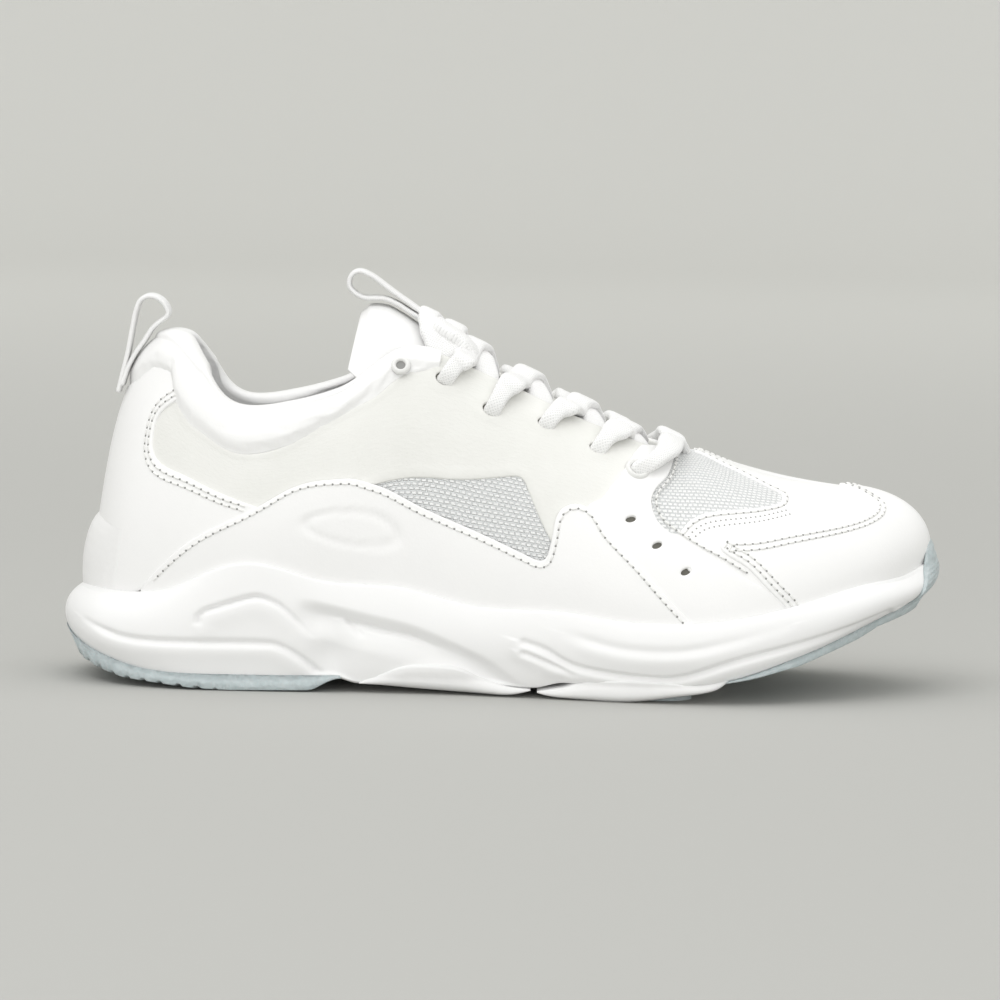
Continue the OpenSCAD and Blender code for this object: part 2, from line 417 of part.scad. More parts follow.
// ---- tongue ----
tongue_line = [[100.5, 121.4], [108.6, 119], [116.7, 114.8], [122, 110.8], [130, 105.3], [141, 99.2], [155, 92.3],
  [168, 85.8], [180, 79.5], [190, 74.8], [197.5, 72.6]];
tongue_droop = [[100.5, 0.058], [112, 0.05], [122, 0.04], [141, 0.0265], [168, 0.0245], [184, 0.014], [190, 0.01], [197.5, 0.008]];
tongue_half = [[100.5, 14.5], [112, 16], [122, 18], [141, 19], [168, 18], [190, 12], [197.5, 10]];
tongue_rows = [100.5, 104, 108.6, 116.7, 122, 130, 141, 155, 168, 180, 190, 197.5];
function tongue_top(x, y) = lookup(x, tongue_line) - lookup(x, tongue_droop) * y * y;
function tongue_depth(s) = 2.6 + (tongue_thickness - 2.6) * (1 - s * s);
// tongue point at row x and cross share s, a share f of the way down through its thickness less a skin d
function tongue_spot(x, s, down) = let (y = s * lookup(x, tongue_half), sweep = lookup(x, [[100.5, 9], [150, 0]]))
  [x - sweep * s * s, y, tongue_top(x, y) - down];
module tongue_layer(high, low, whole) {
  ss = [for (j = [-5:5]) j / 5];
  plate([for (x = tongue_rows) [for (s = ss) tongue_spot(x, s, high + (whole > 0 ? tongue_depth(s) - whole : 0))]],
    [for (x = tongue_rows) [for (s = ss) tongue_spot(x, s, low > 0 ? low : tongue_depth(s) + low)]]);
}
module tongue_cover() color([0.96, 0.96, 0.95]) placed() tongue_layer(0, 0.9, 0);
module tongue_foam() color([0.9, 0.9, 0.86]) placed() tongue_layer(0.95, -0.85, 0);
module tongue_lining() color([0.9, 0.9, 0.89]) placed() tongue_layer(0, -0.001, 0.8);

// ---- lace ----
lace_up = lace_thickness / 2 + 0.2;
lace_run = [1, 0, -0.45] / norm([1, 0, -0.45]);
function lace_at(i, medial, share, d, width) = let (u = holes[i][0], p = at(medial ? count - u : u,
    mix(holes[i][1], 1, share), d)) [p[0], p[1], p[2], width];
function over_tongue(x, y, lift) = [x, y, tongue_top(x, y) + lace_thickness / 2 + 2.0 + lift, lace_width];
function top_of(i) = (i == 0 ? overlay_out + 1.1 : mesh_out) + lace_up;
narrow = min(3.4, lace_hole - 1.4);
// over the edge and down into a hole, then back out underneath towards the gap
function into_hole(i, medial) = [
  lace_at(i, medial, 0.9, top_of(i) + 0.3, lace_width), lace_at(i, medial, 0.45, top_of(i) + 0.3, lace_width * 0.85),
  lace_at(i, medial, 0.08, top_of(i) + 0.1, narrow + 0.6), lace_at(i, medial, 0, mesh_out - 1.0, narrow),
  lace_at(i, medial, 0.04, lining_in - 1.2, narrow + 0.6), lace_at(i, medial, 0.4, lining_in - lace_up, lace_width * 0.8)];
function crossing(i, medial) = let (a = lace_at(i, medial, 1, 0, 0), b = lace_at(i + 1, !medial, 1, 0, 0),
    side = medial ? 1 : -1, lift = medial ? 0 : lace_thickness + 0.2, half = min(7, abs(a[1]) - 4))
  [over_tongue(mix(a[0], b[0], 0.25), side * half, lift), over_tongue(mix(a[0], b[0], 0.5), 0, lift),
   over_tongue(mix(a[0], b[0], 0.75), -side * half, lift)];
last_laced = 4;
function branch(i, medial) = i == last_laced ? []
  : concat(crossing(i, medial), into_hole(i + 1, !medial), branch(i + 1, !medial));
function backwards(v) = [for (i = [len(v) - 1:-1:0]) v[i]];
lace_way = concat(backwards(branch(0, true)), backwards(into_hole(0, true)),
  [over_tongue(188, 0, 3.4)], into_hole(0, false), branch(0, false));
function way_point(i) = lace_way[max(0, min(len(lace_way) - 1, i))];
function lace_curve(v) = let (i = floor(v)) curve(way_point(i - 1), way_point(i), way_point(i + 1), way_point(i + 2), v - i);
module lace() color([0.95, 0.95, 0.94]) placed() {
  n = len(lace_way) - 1;
  tube([for (k = [0:2 * n]) let (v = k / 2, p = lace_curve(v), a = lace_curve(v - 0.1), b = lace_curve(v + 0.1),
      d = [b[0] - a[0], b[1] - a[1], b[2] - a[2]] / norm([b[0] - a[0], b[1] - a[1], b[2] - a[2]]),
      side = lace_run - (lace_run * d) * d, w = side / norm(side), h = cross(d, w))
    [for (q = [[0.5, 0.2], [0.3, 0.5], [-0.3, 0.5], [-0.5, 0.2], [-0.5, -0.2], [-0.3, -0.5], [0.3, -0.5], [0.5, -0.2]])
      [p[0], p[1], p[2]] + q[0] * p[3] * w + q[1] * lace_thickness * h]]);
}

// ---- pull loops, bent flat webbing closed into an eye ----
module strap_loop(width) rotate([90, 0, 0]) linear_extrude(height = width, center = true) children();
module tongue_loop() color([0.95, 0.95, 0.94]) placed() strap_loop(tongue_loop_width) difference() {
  polygon([[117, 117.8], [107, 125.2], [98.4, 131.8], [93.8, 133.4], [90.1, 131.6], [90.1, 126.4], [94.8, 123.4],
    [101.5, 123.4], [108.6, 120.5], [116.4, 116.4]]);
  polygon([[105, 124.7], [97.6, 130.3], [93.8, 131.8], [91.6, 130.6], [91.6, 127.2], [95.2, 124.9], [102, 124.9]]);
}
module heel_loop() color([0.95, 0.95, 0.94]) placed() strap_loop(heel_loop_width) difference() {
  polygon([[17.3, 91], [18, 94], [20.1, 99.3], [22.4, 103.9], [25.4, 108.6], [27.8, 112.6], [30.2, 115], [32.8, 116.6],
    [33, 119], [30.6, 122.4], [26.4, 124], [22.6, 122.6], [20.6, 119], [19.2, 111], [17.6, 103], [15.9, 94], [15.6, 91]]);
  polygon([[18.9, 101], [20.7, 111], [22.1, 118.4], [23.7, 121.3], [26.4, 122.4], [29.6, 121.2], [31.4, 118.6],
    [31.2, 117.4], [29, 115.9], [26.5, 113.4], [24, 109.4], [21, 104.8]]);
}

midsole();
heel_outsole();
toe_outsole();
toe_bumper();
heel_tread();
forefoot_tread();
midfoot_pod();
forefoot_pod();
heel_cup();
strobel_board();
shank();
sockliner();
toe_puff();
heel_counter();
vamp_lining();
quarter_lining_lateral();
quarter_lining_medial();
heel_lining();
vamp_mesh();
quarter_mesh_lateral();
quarter_mesh_medial();
side_film_lateral();
side_film_medial();
eyestay_lateral();
eyestay_medial();
quarter_overlay_lateral();
quarter_overlay_medial();
heel_overlay();
strap_lateral();
strap_medial();
mudguard();
toe_overlay();
collar_foam();
collar_cover();
eyelets();
lace();
tongue_cover();
tongue_foam();
tongue_lining();
tongue_loop();
heel_loop();
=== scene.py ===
"""Looks of the cheer and training shoe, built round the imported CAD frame."""
import math

import bpy
import numpy as np
from mathutils import Matrix, Vector
from mathutils.geometry import delaunay_2d_cdt
from mathutils.kdtree import KDTree


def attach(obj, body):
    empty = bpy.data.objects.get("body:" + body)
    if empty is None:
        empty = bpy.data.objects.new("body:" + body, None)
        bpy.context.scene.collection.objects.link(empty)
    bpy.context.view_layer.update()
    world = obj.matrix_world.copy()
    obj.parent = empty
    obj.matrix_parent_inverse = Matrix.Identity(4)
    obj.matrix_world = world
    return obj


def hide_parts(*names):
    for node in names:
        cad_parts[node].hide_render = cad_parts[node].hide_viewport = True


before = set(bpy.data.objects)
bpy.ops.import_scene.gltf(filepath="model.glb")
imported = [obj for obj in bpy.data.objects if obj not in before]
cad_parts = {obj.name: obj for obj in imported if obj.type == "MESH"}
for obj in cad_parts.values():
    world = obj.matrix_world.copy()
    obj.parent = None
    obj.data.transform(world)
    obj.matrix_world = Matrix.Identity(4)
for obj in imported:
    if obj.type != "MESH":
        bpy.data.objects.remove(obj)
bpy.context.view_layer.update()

# Lengths below are millimetres from the back of the heel, as in the CAD source; out() turns them into metres.
HEEL_TO_ORIGIN = 66.0


def out(points):
    """Shoe millimetres to metres in the CAD frame."""
    p = np.array(points, float)
    return (p - np.array([HEEL_TO_ORIGIN, 0.0, 0.0])) * 0.001


# ---------------------------------------------------------------- camera, light, floor
def make_stage():
    pitch, roll = math.radians(5.549), math.radians(1.2164)
    f = np.array([0, math.cos(pitch), -math.sin(pitch)])
    up = np.array([0, math.sin(pitch), math.cos(pitch)])
    right = np.array([1.0, 0, 0])
    r2 = math.cos(roll) * right + math.sin(roll) * up
    u2 = -math.sin(roll) * right + math.cos(roll) * up
    cam_data = bpy.data.cameras.new("camera")
    cam_data.sensor_width = 36
    cam_data.lens = 161.5
    cam_data.clip_start = 0.05
    cam_data.clip_end = 50
    cam = bpy.data.objects.new("camera", cam_data)
    pose = Matrix.Identity(4)
    place = out([140.58, -1450, 200])
    for i in range(3):
        pose[i][0], pose[i][1], pose[i][2], pose[i][3] = r2[i], u2[i], -f[i], place[i]
    cam.matrix_world = pose
    bpy.context.scene.collection.objects.link(cam)
    bpy.context.scene.camera = cam

    # pale floor that curves up into a backdrop far behind
    rows = [(-6.0, 0.0), (3.0, 0.0)]
    for k in range(1, 13):
        a = math.pi / 2 * k / 12
        rows.append((3.0 + 1.5 * math.sin(a), 1.5 - 1.5 * math.cos(a)))
    rows.append((4.5, 8.0))
    xs = [-9.0 + 0.5 * k for k in range(9)] + [5.0 + 0.5 * k for k in range(9)]
    verts = [(x, y, z + 1.8 * ((abs(x) - 5) / 4) ** 2) for (y, z) in rows for x in xs]
    m = len(xs)
    faces = [(i * m + j, i * m + j + 1, i * m + m + j + 1, i * m + m + j)
             for i in range(len(rows) - 1) for j in range(m - 1)]
    me = bpy.data.meshes.new("floor")
    me.from_pydata(verts, [], faces)
    me.polygons.foreach_set("use_smooth", [True] * len(faces))
    floor = bpy.data.objects.new("floor", me)
    bpy.context.scene.collection.objects.link(floor)
    mat = bpy.data.materials.new("floor")
    mat.use_nodes = True
    b = mat.node_tree.nodes["Principled BSDF"]
    links = mat.node_tree.links
    where = mat.node_tree.nodes.new("ShaderNodeTexCoord")
    split = mat.node_tree.nodes.new("ShaderNodeSeparateXYZ")
    reach = mat.node_tree.nodes.new("ShaderNodeMapRange")
    shade = mat.node_tree.nodes.new("ShaderNodeMix")
    shade.data_type = "RGBA"
    links.new(where.outputs["Object"], split.inputs[0])
    links.new(split.outputs["Y"], reach.inputs["Value"])
    reach.interpolation_type = "SMOOTHSTEP"
    reach.inputs["From Min"].default_value, reach.inputs["From Max"].default_value = FLOOR_BLEND
    links.new(reach.outputs["Result"], shade.inputs["Factor"])
    shade.inputs["A"].default_value = (*FLOOR_NEAR, 1)
    shade.inputs["B"].default_value = (*FLOOR_FAR, 1)
    links.new(shade.outputs["Result"], b.inputs["Base Color"])
    b.inputs["Roughness"].default_value = 0.85
    b.inputs["Specular IOR Level"].default_value = 0.1
    me.materials.append(mat)

    scene = bpy.context.scene
    scene.view_settings.view_transform = "Standard"
    world = bpy.data.worlds.new("studio")
    scene.world = world
    world.use_nodes = True
    world.node_tree.nodes["Background"].inputs[0].default_value = (1.0, 1.0, 0.99, 1)
    world.node_tree.nodes["Background"].inputs[1].default_value = WORLD_LIGHT
    for name, at, aim, size, power in LAMPS:
        data = bpy.data.lights.new(name, "AREA")
        data.shape = "RECTANGLE"
        data.size, data.size_y = size
        data.energy = power
        lamp = bpy.data.objects.new(name, data)
        lamp.location = at
        lamp.visible_camera = False
        lamp.rotation_euler = (Vector(aim) - Vector(at)).to_track_quat("-Z", "Y").to_euler()
        scene.collection.objects.link(lamp)


WORLD_LIGHT = 0.93
FLOOR_NEAR, FLOOR_FAR, FLOOR_BLEND = (0.475, 0.475, 0.455), (0.725, 0.725, 0.695), (0.2, 2.6)
LAMPS = [
    ("key_softbox", (-0.55, -0.9, 1.5), (0.07, 0, 0.05), (1.2, 1.0), 7.0),
    ("top_softbox", (0.25, 0.25, 1.6), (0.07, 0, 0.05), (1.6, 1.2), 5.5),
    ("front_fill", (0.15, -1.9, 0.22), (0.07, 0, 0.04), (2.4, 0.5), 7.0),
]
make_stage()

# ---------------------------------------------------------------- the upper's surface
# stations: toe tip, lateral side, heel, medial side; each from the feather edge to the top line
STATIONS = np.array([
    [[276, 8, 32.5], [289, 8, 50], [276, 6.5, 70], [238, 4.5, 65]],
    [[267, -10, 31.5], [281, -15, 49], [261, -4, 69], [230, 4, 67.5]],
    [[253, -25.5, 28], [264, -33, 47], [243, -15, 69], [221, 3.5, 70.8]],
    [[234.5, -38.5, 23], [240, -46, 46], [220, -21, 73.5], [212, 3, 74]],
    [[211, -46, 19.5], [212, -53, 44], [204, -26, 77], [203, 1, 77.6]],
    [[185, -45.5, 19.5], [185, -52.5, 46], [188, -31, 78], [192, -10, 78.5]],
    [[160, -41.5, 20.5], [160, -48.5, 51], [163, -33, 84], [168, -16, 87.5]],
    [[135, -37, 22.5], [135, -43.5, 54], [138, -32, 89], [141, -18, 99.5]],
    [[110, -34, 25], [110, -40, 58], [111, -33, 92], [112, -20, 109]],
    [[85, -33.5, 27], [85, -39.5, 53], [86, -35, 80], [87, -26.5, 94]],
    [[60, -33.5, 27], [60, -39.5, 49], [59.5, -35, 72], [58, -27.5, 87.5]],
    [[35, -30.5, 25], [35, -36, 50], [39, -30, 82], [45, -23.5, 99.5]],
    [[15, -19.5, 24], [17.5, -24, 53], [23, -18, 88], [35, -13, 108.5]],
    [[7, 0, 24.5], [12, 0, 58], [13, 0, 92], [28.5, 0, 109.5]],
    [[15, 19, 24], [17.5, 24, 53], [23, 18, 88], [35, 13, 108.5]],
    [[35, 30, 25], [35, 36, 50], [39, 30, 82], [45, 23.5, 99.5]],
    [[60, 32.5, 27], [60, 38, 49], [59.5, 34.5, 72], [58, 27.5, 88]],
    [[85, 31.5, 28], [85, 37, 54], [86, 34, 81], [87, 26.5, 94.5]],
    [[110, 30, 28], [110, 35.5, 60], [111, 31, 93], [112, 20, 109]],
    [[135, 29.5, 27], [135, 35.5, 58], [138, 30, 90], [141, 18, 99.5]],
    [[160, 32.5, 24], [160, 39.5, 54], [163, 32, 84], [168, 16, 87.5]],
    [[185, 38, 20.5], [185, 46, 47], [188, 31, 78], [192, 10, 78.5]],
    [[211, 42, 19.5], [212, 50, 44], [205, 28, 76.6], [203, 1, 77.6]],
    [[234.5, 40.5, 23], [240, 49, 46], [221, 26, 73], [212, 3, 74]],
    [[253, 34, 28], [264, 41.5, 47], [243, 24, 69], [221, 3.5, 70.8]],
    [[267, 23, 31.5], [281, 28, 49], [261, 15, 69], [230, 4, 67.5]]], float)
SOLE_OUTLINE = np.array([
    [283, 9], [276.5, -12], [261, -31], [239, -43.5], [212, -51], [185, -50.2], [160, -45.8], [135, -41.5],
    [110, -39.3], [85, -38.5], [60, -38.8], [32, -37], [10, -26.5], [0, 0], [10, 26], [32, 36], [60, 38],
    [85, 36.4], [110, 34.8], [135, 34], [160, 37], [185, 43], [212, 48.5], [239, 47.6], [261, 41.5],
    [276.5, 29]], float)
SOLE_EDGE = np.array([
    [277, 9, 31], [269.5, -8, 28], [255, -26, 22.5], [236, -40, 15], [212, -47, 7], [185, -46, 5.2],
    [160, -41.5, 5.2], [135, -37.5, 5.2], [110, -36, 5.2], [85, -35.5, 4.6], [60, -36, 4.2],
    [35, -34.5, 4.8], [13, -23, 7.6], [4, 0, 12.5], [13, 23, 7.6], [35, 33.5, 4.8], [60, 35, 4.2],
    [85, 33, 4.6], [110, 31.5, 5.2], [135, 31, 5.2], [160, 33, 5.2], [185, 39, 5.2], [212, 44, 7],
    [236, 43.5, 15], [255, 37, 22.5], [269.5, 25, 28]], float)
LIP_SHARE = np.array([0.19, 0.135, 0.148, 0.115, 0.088, 0.07, 0.078, 0.06, 0.085, 0.105, 0.205, 0.08,
                      0.058, 0.045, 0.058, 0.08, 0.195, 0.103, 0.062, 0.045, 0.045, 0.062, 0.088, 0.115,
                      0.148, 0.132], float)
COUNT = len(STATIONS)


def along(values, u):
    """Closed Catmull-Rom through a station list."""
    u = np.asarray(u, float)
    i = np.floor(u).astype(int)
    f = u - i
    p = [values[(i + j) % COUNT] for j in (-1, 0, 1, 2)]
    f = f.reshape(f.shape + (1,) * (p[0].ndim - f.ndim))
    return 0.5 * (2 * p[1] + (p[2] - p[0]) * f + (2 * p[0] - 5 * p[1] + 4 * p[2] - p[3]) * f ** 2
                  + (3 * p[1] - p[0] - 3 * p[2] + p[3]) * f ** 3)


def smooth(x, a, b):
    s = np.clip((np.asarray(x, float) - a) / (b - a), 0, 1)
    return s * s * (3 - 2 * s)


def bare(u, t):
    c = along(STATIONS, u)
    t = np.asarray(t, float)[..., None]
    s = 1 - t
    return s ** 3 * c[..., 0, :] + 3 * t * s * s * c[..., 1, :] + 3 * t * t * s * c[..., 2, :] + t ** 3 * c[..., 3, :]


def skin(u, t):
    """Upper's surface; the toe box is closed along its ridge."""
    u, t = np.broadcast_arrays(np.asarray(u, float), np.asarray(t, float))
    v = np.where(u > COUNT / 2, u - COUNT, u)
    w = smooth(t, 0.86, 1.0) * (1 - smooth(np.abs(v), 4.0, 4.5))
    shift = (bare(-v, np.ones_like(v)) - bare(v, np.ones_like(v))) / 2
    return bare(v, t) + shift * w[..., None]


def normal(u, t):
    u, t = np.broadcast_arrays(np.asarray(u, float), np.asarray(t, float))
    e = 0.01

    def one(u, t):
        a = skin(u + e, t) - skin(u - e, t)
        b = skin(u, np.minimum(t + e, 1)) - skin(u, np.maximum(t - e, 0))
        c = np.cross(b, a)
        return c / np.linalg.norm(c, axis=-1, keepdims=True)

    v = np.where(u > COUNT / 2, u - COUNT, u)
    w = smooth(t, 0.9, 1.0) * (1 - smooth(np.abs(v), 4.0, 4.5))
    n = one(v, t) + one(-v, t) * w[..., None]
    return n / np.linalg.norm(n, axis=-1, keepdims=True)


def at(u, t, d):
    return skin(u, t) + normal(u, t) * np.asarray(d, float)[..., None]


# ---------------------------------------------------------------- materials
def new_material(name):
    mat = bpy.data.materials.new(name)
    mat.use_nodes = True
    return mat, mat.node_tree.nodes, mat.node_tree.links


def link_bump(nodes, links, height, strength, distance, previous=None):
    bump = nodes.new("ShaderNodeBump")
    bump.inputs["Strength"].default_value = strength
    bump.inputs["Distance"].default_value = distance
    links.new(height, bump.inputs["Height"])
    if previous:
        links.new(previous, bump.inputs["Normal"])
    return bump.outputs["Normal"]


def coords(nodes, links, kind="Object", scale=(1, 1, 1), rotation=(0, 0, 0)):
    tc = nodes.new("ShaderNodeTexCoord")
    mp = nodes.new("ShaderNodeMapping")
    mp.inputs["Scale"].default_value = scale
    mp.inputs["Rotation"].default_value = rotation
    links.new(tc.outputs[kind], mp.inputs["Vector"])
    return mp.outputs["Vector"]


def noise(nodes, links, vector, scale, detail=3.0, rough=0.55):
    n = nodes.new("ShaderNodeTexNoise")
    n.inputs["Scale"].default_value = scale
    n.inputs["Detail"].default_value = detail
    n.inputs["Roughness"].default_value = rough
    links.new(vector, n.inputs["Vector"])
    return n.outputs["Fac"]


def ramp(nodes, links, value, stops):
    r = nodes.new("ShaderNodeValToRGB")
    els = r.color_ramp.elements
    while len(els) < len(stops):
        els.new(0.5)
    for e, (pos, col) in zip(els, stops):
        e.position = pos
        e.color = (*col, 1) if len(col) == 3 else col
    links.new(value, r.inputs["Fac"])
    return r.outputs["Color"]


def math_node(nodes, links, op, a, b=None):
    m = nodes.new("ShaderNodeMath")
    m.operation = op
    for i, v in enumerate((a, b)):
        if v is None:
            continue
        if isinstance(v, (int, float)):
            m.inputs[i].default_value = v
        else:
            links.new(v, m.inputs[i])
    return m.outputs[0]


def grey(v, warm=0.0):
    return (v + warm, v + warm * 0.6, v - warm)


def leather(name, tone, grain=900.0, rough=0.42, bump=0.12, warm=0.004, spread=0.02):
    """Smooth coated synthetic: fine pebble, faint tone drift, soft sheen."""
    mat, nodes, links = new_material(name)
    b = nodes["Principled BSDF"]
    v = coords(nodes, links)
    drift = noise(nodes, links, v, 22.0, 4.0)
    links.new(ramp(nodes, links, drift, [(0.3, grey(tone - spread, warm)), (0.7, grey(tone, warm))]),
              b.inputs["Base Color"])
    fine = noise(nodes, links, v, grain, 2.0)
    vor = nodes.new("ShaderNodeTexVoronoi")
    vor.inputs["Scale"].default_value = grain * 1.3
    links.new(v, vor.inputs["Vector"])
    h = math_node(nodes, links, "ADD", fine, math_node(nodes, links, "MULTIPLY", vor.outputs["Distance"], 0.5))
    n1 = link_bump(nodes, links, noise(nodes, links, v, 90.0, 2.0), 0.05, 0.0006)
    links.new(link_bump(nodes, links, h, bump, 0.0002, n1), b.inputs["Normal"])
    r = ramp(nodes, links, fine, [(0.3, grey(rough - 0.05)), (0.7, grey(rough + 0.08))])
    links.new(r, b.inputs["Roughness"])
    b.inputs["Specular IOR Level"].default_value = 0.4
    b.inputs["Coat Weight"].default_value = 0.05
    return mat


def film_material():
    """Thin ivory film with small raised dashes in rows."""
    mat, nodes, links = new_material("side_film_embossed")
    b = nodes["Principled BSDF"]
    uv = coords(nodes, links, "UV")
    obj = coords(nodes, links)
    drift = noise(nodes, links, obj, 30.0, 4.0)
    links.new(ramp(nodes, links, drift, [(0.3, (0.775, 0.775, 0.74)), (0.7, (0.83, 0.83, 0.80))]),
              b.inputs["Base Color"])
    big = noise(nodes, links, coords(nodes, links, "UV", (0.5, 1.1, 1)), 0.9, 2.0, 0.6)
    fine = noise(nodes, links, uv, 7.0, 2.0)
    h = math_node(nodes, links, "ADD", ramp(nodes, links, big, [(0.45, grey(0.0)), (0.62, grey(1.0))]),
                  math_node(nodes, links, "MULTIPLY", fine, 0.4))
    links.new(link_bump(nodes, links, h, 0.13, 0.0003), b.inputs["Normal"])
    b.inputs["Roughness"].default_value = 0.5
    b.inputs["Specular IOR Level"].default_value = 0.35
    return mat


def knit_material(name, light, dark, cell=(2.4, 1.4), gap=0.5, depth=0.9, slant=0.0, soft=0.3):
    """Open knit: staggered yarn beads with gaps between, drawn in the panel's own millimetres."""
    mat, nodes, links = new_material(name)
    b = nodes["Principled BSDF"]
    uv = coords(nodes, links, "UV", rotation=(0, 0, slant))
    warp = nodes.new("ShaderNodeTexNoise")
    warp.inputs["Scale"].default_value = 0.7
    links.new(uv, warp.inputs["Vector"])
    mixv = nodes.new("ShaderNodeVectorMath")
    mixv.operation = "MULTIPLY_ADD"
    mixv.inputs[1].default_value = (0.5, 0.5, 0)
    links.new(warp.outputs["Color"], mixv.inputs[0])
    links.new(uv, mixv.inputs[2])
    brick = nodes.new("ShaderNodeTexBrick")
    brick.offset = 0.5
    brick.inputs["Scale"].default_value = 1.0
    brick.inputs["Brick Width"].default_value = cell[0]
    brick.inputs["Row Height"].default_value = cell[1]
    brick.inputs["Mortar Size"].default_value = gap
    brick.inputs["Mortar Smooth"].default_value = 0.75
    brick.inputs["Color1"].default_value = (1, 1, 1, 1)
    brick.inputs["Color2"].default_value = (0.8, 0.8, 0.8, 1)
    brick.inputs["Mortar"].default_value = (0, 0, 0, 1)
    links.new(mixv.outputs[0], brick.inputs["Vector"])
    yarn = brick.outputs["Color"]
    fib = noise(nodes, links, coords(nodes, links, "UV", (1, 1, 1)), 9.0, 3.0, 0.7)
    rgb = nodes.new("ShaderNodeRGBToBW")
    links.new(yarn, rgb.inputs[0])
    h = math_node(nodes, links, "ADD", rgb.outputs[0], math_node(nodes, links, "MULTIPLY", fib, soft))
    # Painted shade: the dark stop fills the gaps between the yarn beads, where shade falls in the open knit; the fibre
    # noise adds random tone.
    links.new(ramp(nodes, links, h, [(0.15, dark), (0.75, light)]), b.inputs["Base Color"])
    links.new(link_bump(nodes, links, h, depth, 0.0006), b.inputs["Normal"])
    b.inputs["Roughness"].default_value = 0.85
    b.inputs["Sheen Weight"].default_value = 0.3
    b.inputs["Specular IOR Level"].default_value = 0.15
    return mat


def textile(name, tone, scale=1500.0, bump=0.4, warm=0.003, sheen=0.3):
    """Fine woven or brushed textile in object space."""
    mat, nodes, links = new_material(name)
    b = nodes["Principled BSDF"]
    v = coords(nodes, links)
    w1 = nodes.new("ShaderNodeTexWave")
    w1.wave_type = "BANDS"
    w1.bands_direction = "X"
    w1.inputs["Scale"].default_value = scale * 0.3
    w1.inputs["Distortion"].default_value = 0.6
    links.new(v, w1.inputs["Vector"])
    w2 = nodes.new("ShaderNodeTexWave")
    w2.wave_type = "BANDS"
    w2.bands_direction = "Z"
    w2.inputs["Scale"].default_value = scale * 0.3
    w2.inputs["Distortion"].default_value = 0.6
    links.new(v, w2.inputs["Vector"])
    fuzz = noise(nodes, links, v, scale, 3.0)
    h = math_node(nodes, links, "ADD", math_node(nodes, links, "MULTIPLY", w1.outputs["Fac"], w2.outputs["Fac"]), fuzz)
    drift = noise(nodes, links, v, 40.0)
    links.new(ramp(nodes, links, drift, [(0.3, grey(tone - 0.04, warm)), (0.7, grey(tone, warm))]),
              b.inputs["Base Color"])
    links.new(link_bump(nodes, links, h, bump, 0.0003), b.inputs["Normal"])
    b.inputs["Roughness"].default_value = 0.9
    b.inputs["Sheen Weight"].default_value = sheen
    b.inputs["Specular IOR Level"].default_value = 0.1
    return mat


def braid_material(name, tone, pitch=(1.4, 1.4), depth=0.5):
    """Braided or ribbed narrow textile; UV runs in millimetres along and across it."""
    mat, nodes, links = new_material(name)
    b = nodes["Principled BSDF"]
    uv = coords(nodes, links, "UV")
    heights = []
    for sign in (1, -1):
        v = coords(nodes, links, "UV", rotation=(0, 0, sign * math.radians(38)))
        w = nodes.new("ShaderNodeTexWave")
        w.wave_type = "BANDS"
        w.bands_direction = "X"
        w.inputs["Scale"].default_value = 0.31 * pitch[0]
        w.inputs["Distortion"].default_value = 0.3
        links.new(v, w.inputs["Vector"])
        heights.append(w.outputs["Fac"])
    fib = noise(nodes, links, uv, 6.0, 3.0, 0.7)
    h = math_node(nodes, links, "MAXIMUM", heights[0], heights[1])
    h = math_node(nodes, links, "ADD", h, math_node(nodes, links, "MULTIPLY", fib, 0.4))
    # Painted shade: the colour follows the braid's height, so the troughs between the ribs are darker; the fibre noise
    # adds random tone.
    links.new(ramp(nodes, links, h, [(0.25, grey(tone - 0.14, 0.004)), (0.85, grey(tone, 0.004))]),
              b.inputs["Base Color"])
    links.new(link_bump(nodes, links, h, depth, 0.0003), b.inputs["Normal"])
    b.inputs["Roughness"].default_value = 0.85
    b.inputs["Sheen Weight"].default_value = 0.35
    b.inputs["Specular IOR Level"].default_value = 0.15
    return mat


def foam_material(name, tone=0.9):
    """Moulded foam skin: satin, very fine orange peel."""
    mat, nodes, links = new_material(name)
    b = nodes["Principled BSDF"]
    v = coords(nodes, links)
    drift = noise(nodes, links, v, 14.0, 4.0)
    links.new(ramp(nodes, links, drift, [(0.3, grey(tone - 0.02, 0.002)), (0.7, grey(tone, 0.002))]),
              b.inputs["Base Color"])
    fine = noise(nodes, links, v, 1400.0, 2.0)
    links.new(link_bump(nodes, links, fine, 0.06, 0.0002), b.inputs["Normal"])
    links.new(ramp(nodes, links, noise(nodes, links, v, 60.0), [(0.3, grey(0.38)), (0.7, grey(0.5))]),
              b.inputs["Roughness"])
    b.inputs["Specular IOR Level"].default_value = 0.4
    b.inputs["Subsurface Weight"].default_value = 0.08
    b.inputs["Subsurface Radius"].default_value = (0.004, 0.004, 0.004)
    return mat


def rubber_material(name, tone=(0.50, 0.56, 0.57)):
    """Milky translucent rubber with fine tooth and mottled depth."""
    mat, nodes, links = new_material(name)
    b = nodes["Principled BSDF"]
    v = coords(nodes, links)
    mott = noise(nodes, links, v, 260.0, 3.0, 0.6)
    light = tuple(c + 0.04 for c in tone)
    dark = tuple(c - 0.05 for c in tone)
    links.new(ramp(nodes, links, mott, [(0.3, dark), (0.7, light)]), b.inputs["Base Color"])
    vor = nodes.new("ShaderNodeTexVoronoi")
    vor.inputs["Scale"].default_value = 620.0
    links.new(v, vor.inputs["Vector"])
    links.new(link_bump(nodes, links, vor.outputs["Distance"], 0.5, 0.0006), b.inputs["Normal"])
    b.inputs["Roughness"].default_value = 0.5
    b.inputs["Subsurface Weight"].default_value = 0.25
    b.inputs["Subsurface Radius"].default_value = (0.003, 0.004, 0.004)
    return mat


